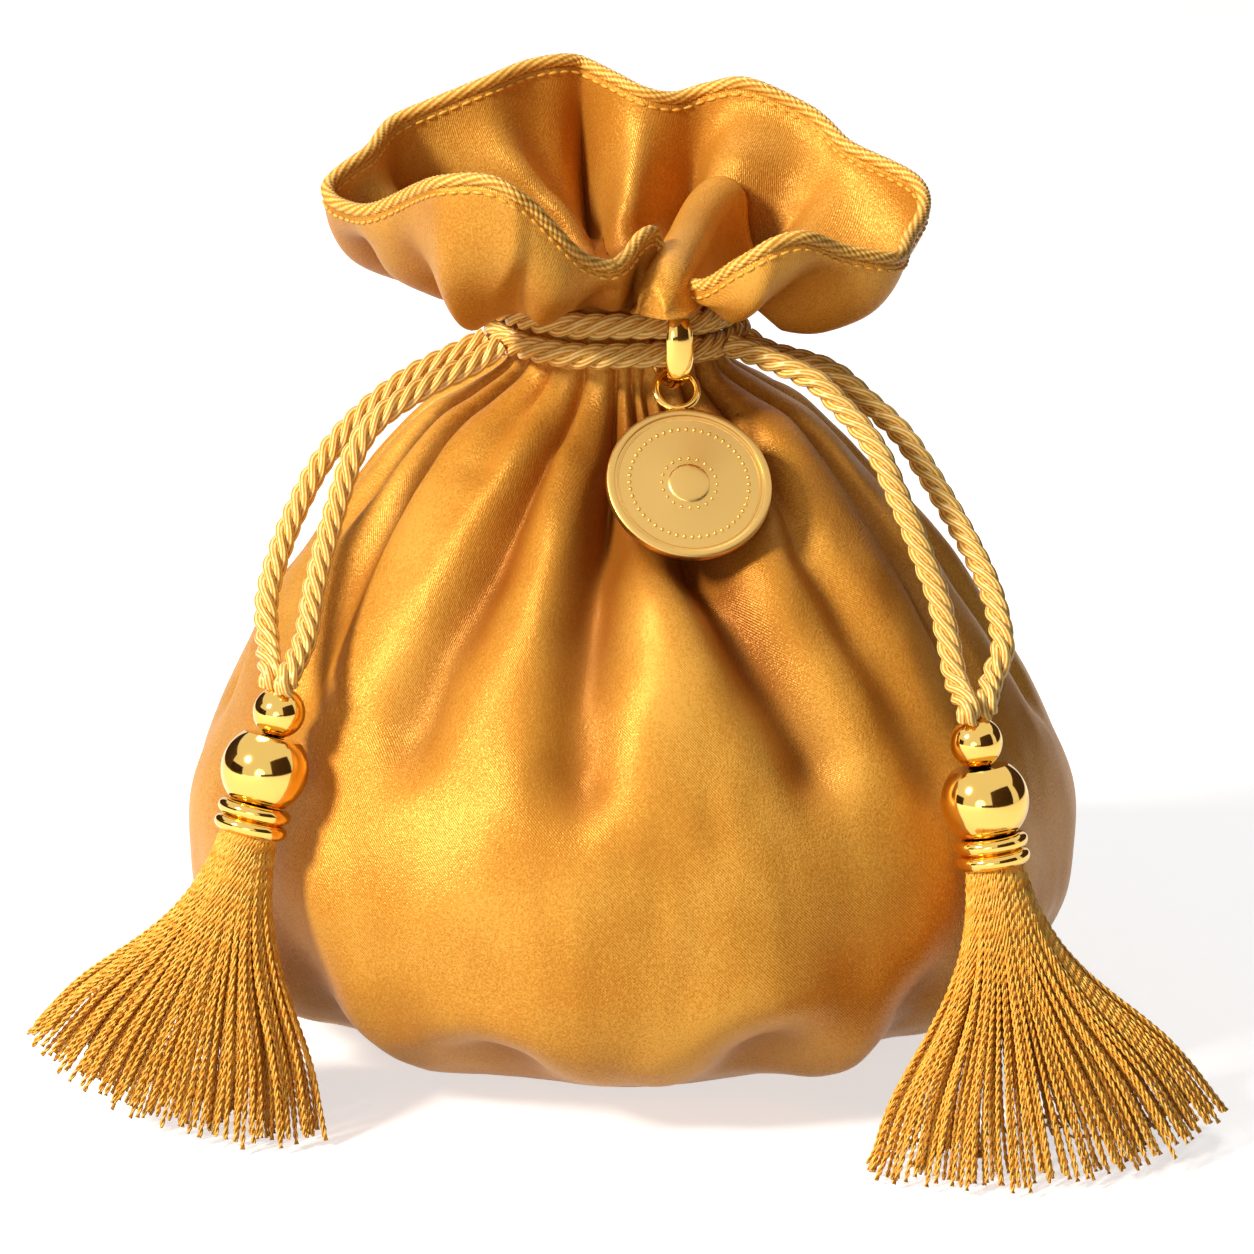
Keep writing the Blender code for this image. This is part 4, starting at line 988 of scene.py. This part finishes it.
def fringeLines(side, top, share, count, seed):
    # each yarn leaves the ferrule straight and then fans to its own place at the hem
    place = tassel[side]
    draw = random.Random(seed)
    axis = stackAxis(side)
    out = direction(place["angle"] + place["turn"])
    across = tangent(place["angle"] + place["turn"])
    headSide = (across - axis * across.dot(axis)).normalized()
    headOut = (out - axis * out.dot(axis))
    headOut = (headOut - headSide * headOut.dot(headSide)).normalized()
    lines = []
    for k in range(count):
        a = 2 * pi * (k + draw.uniform(-0.35, 0.35)) / count
        spread = share * draw.uniform(0.9, 1.02)
        leanSide = place["side"][0] + place["side"][1] * cos(a) * spread
        leanOut = place["out"][0] + place["out"][1] * sin(a) * spread
        way = (across * leanSide + out * leanOut - Vector((0, 0, 1))).normalized()
        length = place["length"] * draw.uniform(0.96, 1.01)
        bow = Vector((draw.uniform(-1, 1), draw.uniform(-1, 1), 0)) * 1.1
        start = top + (tassel["skirtTop"] / 2 - 0.8) * share * (headSide * cos(a) + headOut * sin(a))
        start -= axis * draw.uniform(0, 0.5) * tassel["yarnLay"]   # so that the yarns' twists don't line up
        line = []
        for i in range(13):
            s = i / 12
            point = start + (axis * length * s).lerp(way * length * s, 0.3 + 0.7 * smoothStep(s * 1.2))
            point += bow * sin(pi * s) * s
            point.z = max(point.z, 0.9 + 0.8 * draw.random())
            line.append(point)
        lines.append(line)
    return lines


def makeFringe(side, top):
    pieces = []
    for i, (share, count) in enumerate(tassel["layers"]):
        name = side + ("Fringe", "FringeMiddle", "FringeHeart")[i]
        lines = [smoothRoute(line, 3) for line in fringeLines(side, top, share, count, 5 + i + (20 if side == "left" else 0))]
        values = laidValues(tassel["yarn"], 2, tassel["yarnLay"], tassel["yarnStep"] * (1 if i == 0 else 1.4), 5 if i == 0 else 4,
                            rayonThread)
        source = pathObject(name, lines)
        for spline in source.data.splines:
            for n, place in enumerate(spline.points):
                place.radius = 0.6 + 0.4 * smoothStep(n / len(spline.points) * 2.5)
        mesh = nodesToMesh(name, source, laidCord, values)
        replaced = [side + "_tassel_skirt", side + "_tassel_core"] if i == 0 else []
        pieces.append(addPiece(name, mesh, None, side + "_tassel", replaced))
    return pieces


for side in ("left", "right"):
    bead, ball, ferrule, top = makeStack(side)
    [bead, ball, ferrule] + makeFringe(side, top)
print("tassels made")


# the bail and the charm

def bailFrame():
    halfBack = cord["turnDiameter"] / 2 + bail["play"]
    centre = neckAxis + direction(bail["angle"]) * turnRadius
    front = cord["turnDiameter"] / 2 + 3 * cord["gap"] + charm["wire"]
    top = upperTurn + cord["turnDiameter"] / 2 + bail["play"]
    bottom = lowerTurn - cord["turnDiameter"] / 2 - bail["play"] - bail["hang"]
    centre += direction(bail["turn"]) * (front - halfBack) / 2 + Vector((0, 0, (top + bottom) / 2))
    return centre, (front + halfBack) / 2, (top - bottom) / 2


def bailInside(a):
    centre, depth, halfHeight = bailFrame()
    out = direction(bail["turn"])

    def point(b):
        c, s = cos(b), sin(b)
        forward = copysign(abs(c) ** bail["corner"], c) * depth
        return out * forward + Vector((0, 0, copysign(abs(s) ** bail["corner"], s) * halfHeight))

    along = point(a + 0.02) - point(a - 0.02)
    way = (out * along.z - Vector((0, 0, along.dot(out)))).normalized()
    return centre + point(a), way


def makeBail():
    across = tangent(bail["turn"])
    rings = []
    for k in range(120):
        a = 2 * pi * (k + 0.5) / 120
        inner, way = bailInside(a)
        width = bail["endWidth"] + (bail["width"] - bail["endWidth"]) * abs(cos(a)) ** 2.4
        middle = inner + way * bail["thickness"] / 2
        ring = []
        for m in range(24):
            b = 2 * pi * m / 24
            crown = bail["thickness"] / 2 + (bail["crown"] * max(cos(a) - 0.5, 0) * 2 if sin(b) > 0 else 0)
            ring.append(middle + across * width / 2 * cos(b) + way * crown * sin(b))
        rings.append(ring)
    points, faces = skinRings(rings, closedLoop=True)
    addPiece("bailLink", outwards(meshFrom("bailLink", points, faces)), polishedGold, "bag", ["bail"])


def charmFrame():
    inner, way = bailInside(radians(-62))
    pivot = inner - way * (2.8 * cord["gap"] + charm["wire"] / 2)
    out = direction(charm["turn"])
    lean = radians(charm["lean"])
    down = out * sin(lean) - Vector((0, 0, cos(lean)))
    face = (out * cos(lean) + Vector((0, 0, sin(lean)))).normalized()
    eyeCentre = pivot + down * (charm["eye"] - charm["wire"]) / 2
    return eyeCentre, down, face


def dotTree():
    # one small round dot at every step of a closed line
    tree = bpy.data.node_groups.new("dottedRing", "GeometryNodeTree")
    face = tree.interface
    face.new_socket(name="Geometry", in_out="INPUT", socket_type="NodeSocketGeometry")
    face.new_socket(name="Count", in_out="INPUT", socket_type="NodeSocketInt")
    face.new_socket(name="Radius", in_out="INPUT", socket_type="NodeSocketFloat")
    face.new_socket(name="Material", in_out="INPUT", socket_type="NodeSocketMaterial")
    face.new_socket(name="Geometry", in_out="OUTPUT", socket_type="NodeSocketGeometry")
    given = addNode(tree, "NodeGroupInput").outputs
    path = addNode(tree, "GeometryNodeResampleCurve", None, {"Curve": given["Geometry"], "Count": given["Count"]}, mode="COUNT")
    dot = addNode(tree, "GeometryNodeMeshUVSphere", {"Segments": 10, "Rings": 6}, {"Radius": given["Radius"]})
    laid = addNode(tree, "GeometryNodeInstanceOnPoints", None, {"Points": path.outputs[0], "Instance": dot.outputs[0]})
    real = addNode(tree, "GeometryNodeRealizeInstances", None, {"Geometry": laid.outputs[0]})
    soft = addNode(tree, "GeometryNodeSetShadeSmooth", None, {"Geometry": real.outputs[0]})
    dressed = addNode(tree, "GeometryNodeSetMaterial", None, {"Geometry": soft.outputs[0], "Material": given["Material"]})
    addNode(tree, "NodeGroupOutput", None, {0: dressed.outputs[0]})
    return tree


def makeDots(centre, face, field):
    side = face.orthogonal().normalized()
    other = face.cross(side)
    tree = dotTree()
    for name, radius, count, size in (("charmOuterDots", charm["dotRing"], 48, 0.42), ("charmInnerDots", charm["boss"] / 2 + 1.6, 20, 0.36)):
        line = [centre + face * (field + 0.05) + radius * (side * cos(a) + other * sin(a)) for a in (2 * pi * k / 144 for k in range(144))]
        values = {"Count": count, "Radius": size * mm, "Material": mattGold}
        addPiece(name, nodesToMesh(name, pathObject(name, [line], closed=True), tree, values), None, "charm")


def makeCharm():
    eyeCentre, down, face = charmFrame()
    discCentre = eyeCentre + down * charm["eyeToCharm"]
    radius, half = charm["diameter"] / 2, charm["thickness"] / 2
    field = half - charm["recess"]
    rim = radius - charm["rimWidth"]
    boss = charm["boss"] / 2
    outline = [(0.02, -half), (radius - 0.6, -half), (radius - 0.2, -half + 0.2), (radius, -half + 0.6), (radius, half - 0.5),
               (radius - 0.15, half - 0.18), (radius - 0.5, half), (rim + 0.2, half), (rim, half - 0.08), (rim - 0.12, field + 0.05),
               (rim - 0.3, field), (rim - 0.6, field), (rim - 0.7, field + 0.16), (rim - 0.95, field + 0.16), (rim - 1.05, field),
               (boss + 0.3, field), (boss, field + 0.08)]
    outline += [(boss * cos(a), field + 0.08 + 0.4 * sin(a)) for a in (pi / 2 * k / 10 for k in range(1, 10))] + [(0.02, field + 0.48)]
    points, faces = skinRings(turnedRings(outline, discCentre, face, 144), closedLoop=True)
    mesh = meshFrom("charmDisc", points, faces)
    outwards(mesh).set_sharp_from_angle(angle=radians(35))
    disc = addPiece("charmDisc", mesh, mattGold, "charm", ["charm"])
    makeDots(discCentre, face, field)
    wire = charm["wire"] / 2
    ringRadius = (charm["eye"] - charm["wire"]) / 2
    section = [(ringRadius + wire * cos(a), wire * 0.9 * sin(a)) for a in (2 * pi * k / 20 for k in range(20))]
    points, faces = skinRings(turnedRings(section, eyeCentre, face, 96), closedLoop=True)
    addPiece("charmEye", outwards(meshFrom("charmEye", points, faces)), polishedGold, "charm")
    across = down.cross(face)
    rings = []
    for along, width, thick in ((ringRadius, 2.6, 0.7), (ringRadius + 0.8, 3.0, 0.8), (charm["eyeToCharm"] - radius - 0.2, 4.6, 0.9),
                                (charm["eyeToCharm"] - radius + 0.8, 6.4, 0.9)):
        rings.append([eyeCentre + down * along + across * width / 2 * copysign(abs(cos(a)) ** 0.6, cos(a))
                      + face * thick * copysign(abs(sin(a)) ** 0.6, sin(a)) for a in (2 * pi * k / 24 for k in range(24))])
    points, faces = skinRings(rings)
    addPiece("charmNeck", outwards(meshFrom("charmNeck", points, faces)), polishedGold, "charm")
    return disc


makeBail()
makeCharm()
print("bail and charm made")


# the studio: a pale floor, soft lamps and five dark cards that only glossy rays see

studio = {
    "floor": "#E9E7E4", "shade": "#8A857E", "lift": 0.62, "world": 0.12,
    "lamps": [("keyLamp", (-1.5, -1.15, 1.35), 0.5, 66.0, "#FFFAF0"), ("fillLamp", (-0.45, -2.1, 0.25), 0.9, 9.0, "#FFF6EE"),
              ("topLamp", (-0.2, 0.5, 1.9), 0.8, 10.0, "#FFFFFF")],
    # each card: middle, half width, half height
    "cards": [((1.0, -0.95, 0.3), 0.75, 0.8), ((-1.4, -0.35, 0.05), 0.5, 0.42), ((0.15, -1.9, -0.1), 0.5, 0.3),
              ((1.3, 0.9, 0.3), 0.9, 0.7), ((-1.3, 0.9, 0.3), 0.9, 0.7)],
}


def makeStudio():
    world = bpy.data.worlds.new("studioWorld")
    scene.world = world
    world.use_nodes = True
    tree = world.node_tree
    tree.nodes.clear()
    ray = addNode(tree, "ShaderNodeLightPath").outputs
    plain = addNode(tree, "ShaderNodeBackground", {"Color": linear("#FFFFFF"), "Strength": studio["world"]})
    white = addNode(tree, "ShaderNodeBackground", {"Color": (1, 1, 1, 1), "Strength": 1.0})
    seen = addNode(tree, "ShaderNodeMath", None, {0: ray["Is Camera Ray"], 1: ray["Is Transmission Ray"]}, operation="MAXIMUM")
    seen = addNode(tree, "ShaderNodeMath", None, {0: seen.outputs[0], 1: ray["Is Glossy Ray"]}, operation="MAXIMUM")
    both = addNode(tree, "ShaderNodeMixShader", None, {0: seen.outputs[0], 1: plain.outputs[0], 2: white.outputs[0]})
    addNode(tree, "ShaderNodeOutputWorld", None, {"Surface": both.outputs[0]})
    floorMesh = bpy.data.meshes.new("studioFloor")
    reach = 6.0
    floorMesh.from_pydata([(-reach, -reach, 0), (reach, -reach, 0), (reach, reach, 0), (-reach, reach, 0)], [], [(0, 1, 2, 3)])
    material, floorTree, shader = newMaterial("matteStudioPaper")
    ray = addNode(floorTree, "ShaderNodeLightPath").outputs
    seen = addNode(floorTree, "ShaderNodeMath", None,
                   {0: ray["Is Camera Ray"], 1: ray["Is Transmission Ray"]}, operation="MAXIMUM")
    seen = addNode(floorTree, "ShaderNodeMath", None,
                   {0: seen.outputs[0], 1: ray["Is Glossy Ray"]}, operation="MAXIMUM")
    tone = addNode(floorTree, "ShaderNodeMix", {"A": linear(studio["shade"]), "B": linear(studio["floor"])},
                   {"Factor": seen.outputs[0]}, data_type="RGBA")
    lift = addNode(floorTree, "ShaderNodeMath", {1: studio["lift"]}, {0: seen.outputs[0]}, operation="MULTIPLY")
    floorTree.links.new(tone.outputs["Result"], shader.inputs["Base Color"])
    floorTree.links.new(lift.outputs[0], shader.inputs["Emission Strength"])
    shader.inputs["Emission Color"].default_value = (1, 1, 1, 1)
    shader.inputs["Roughness"].default_value = 0.9
    shader.inputs["Specular IOR Level"].default_value = 0.1
    floorMesh.materials.append(material)
    ground = bpy.data.objects.new("studioFloor", floorMesh)
    scene.collection.objects.link(ground)
    darkPaper, darkTree, darkShader = newMaterial("blackStudioCard")
    darkShader.inputs["Base Color"].default_value = linear("#3A2208")
    darkShader.inputs["Roughness"].default_value = 0.9
    for i, (place, width, tall) in enumerate(studio["cards"]):
        name = "darkCard" + str(i + 1)
        middle = Vector(place)
        out = (Vector((0, 0, 0.1)) - middle).normalized()
        across = Vector((0, 0, 1)).cross(out).normalized()
        up = out.cross(across)
        corners = [middle + across * width * a + up * tall * b for a, b in ((-1, -1), (1, -1), (1, 1), (-1, 1))]
        cardMesh = bpy.data.meshes.new(name)
        cardMesh.from_pydata([tuple(c) for c in corners], [], [(0, 1, 2, 3)])
        cardMesh.materials.append(darkPaper)
        card = bpy.data.objects.new(name, cardMesh)
        scene.collection.objects.link(card)
        card.visible_camera = card.visible_diffuse = card.visible_shadow = card.visible_transmission = False
    for name, place, size, power, code in studio["lamps"]:
        data = bpy.data.lights.new(name, "AREA")
        data.shape = "DISK"
        data.size = size
        data.energy = power
        data.color = linear(code)[:3]
        lamp = bpy.data.objects.new(name, data)
        lamp.location = place
        lamp.rotation_euler = (Vector((0, 0, 0.1)) - Vector(place)).to_track_quat("-Z", "Y").to_euler()
        scene.collection.objects.link(lamp)


makeStudio()
print("studio lit")
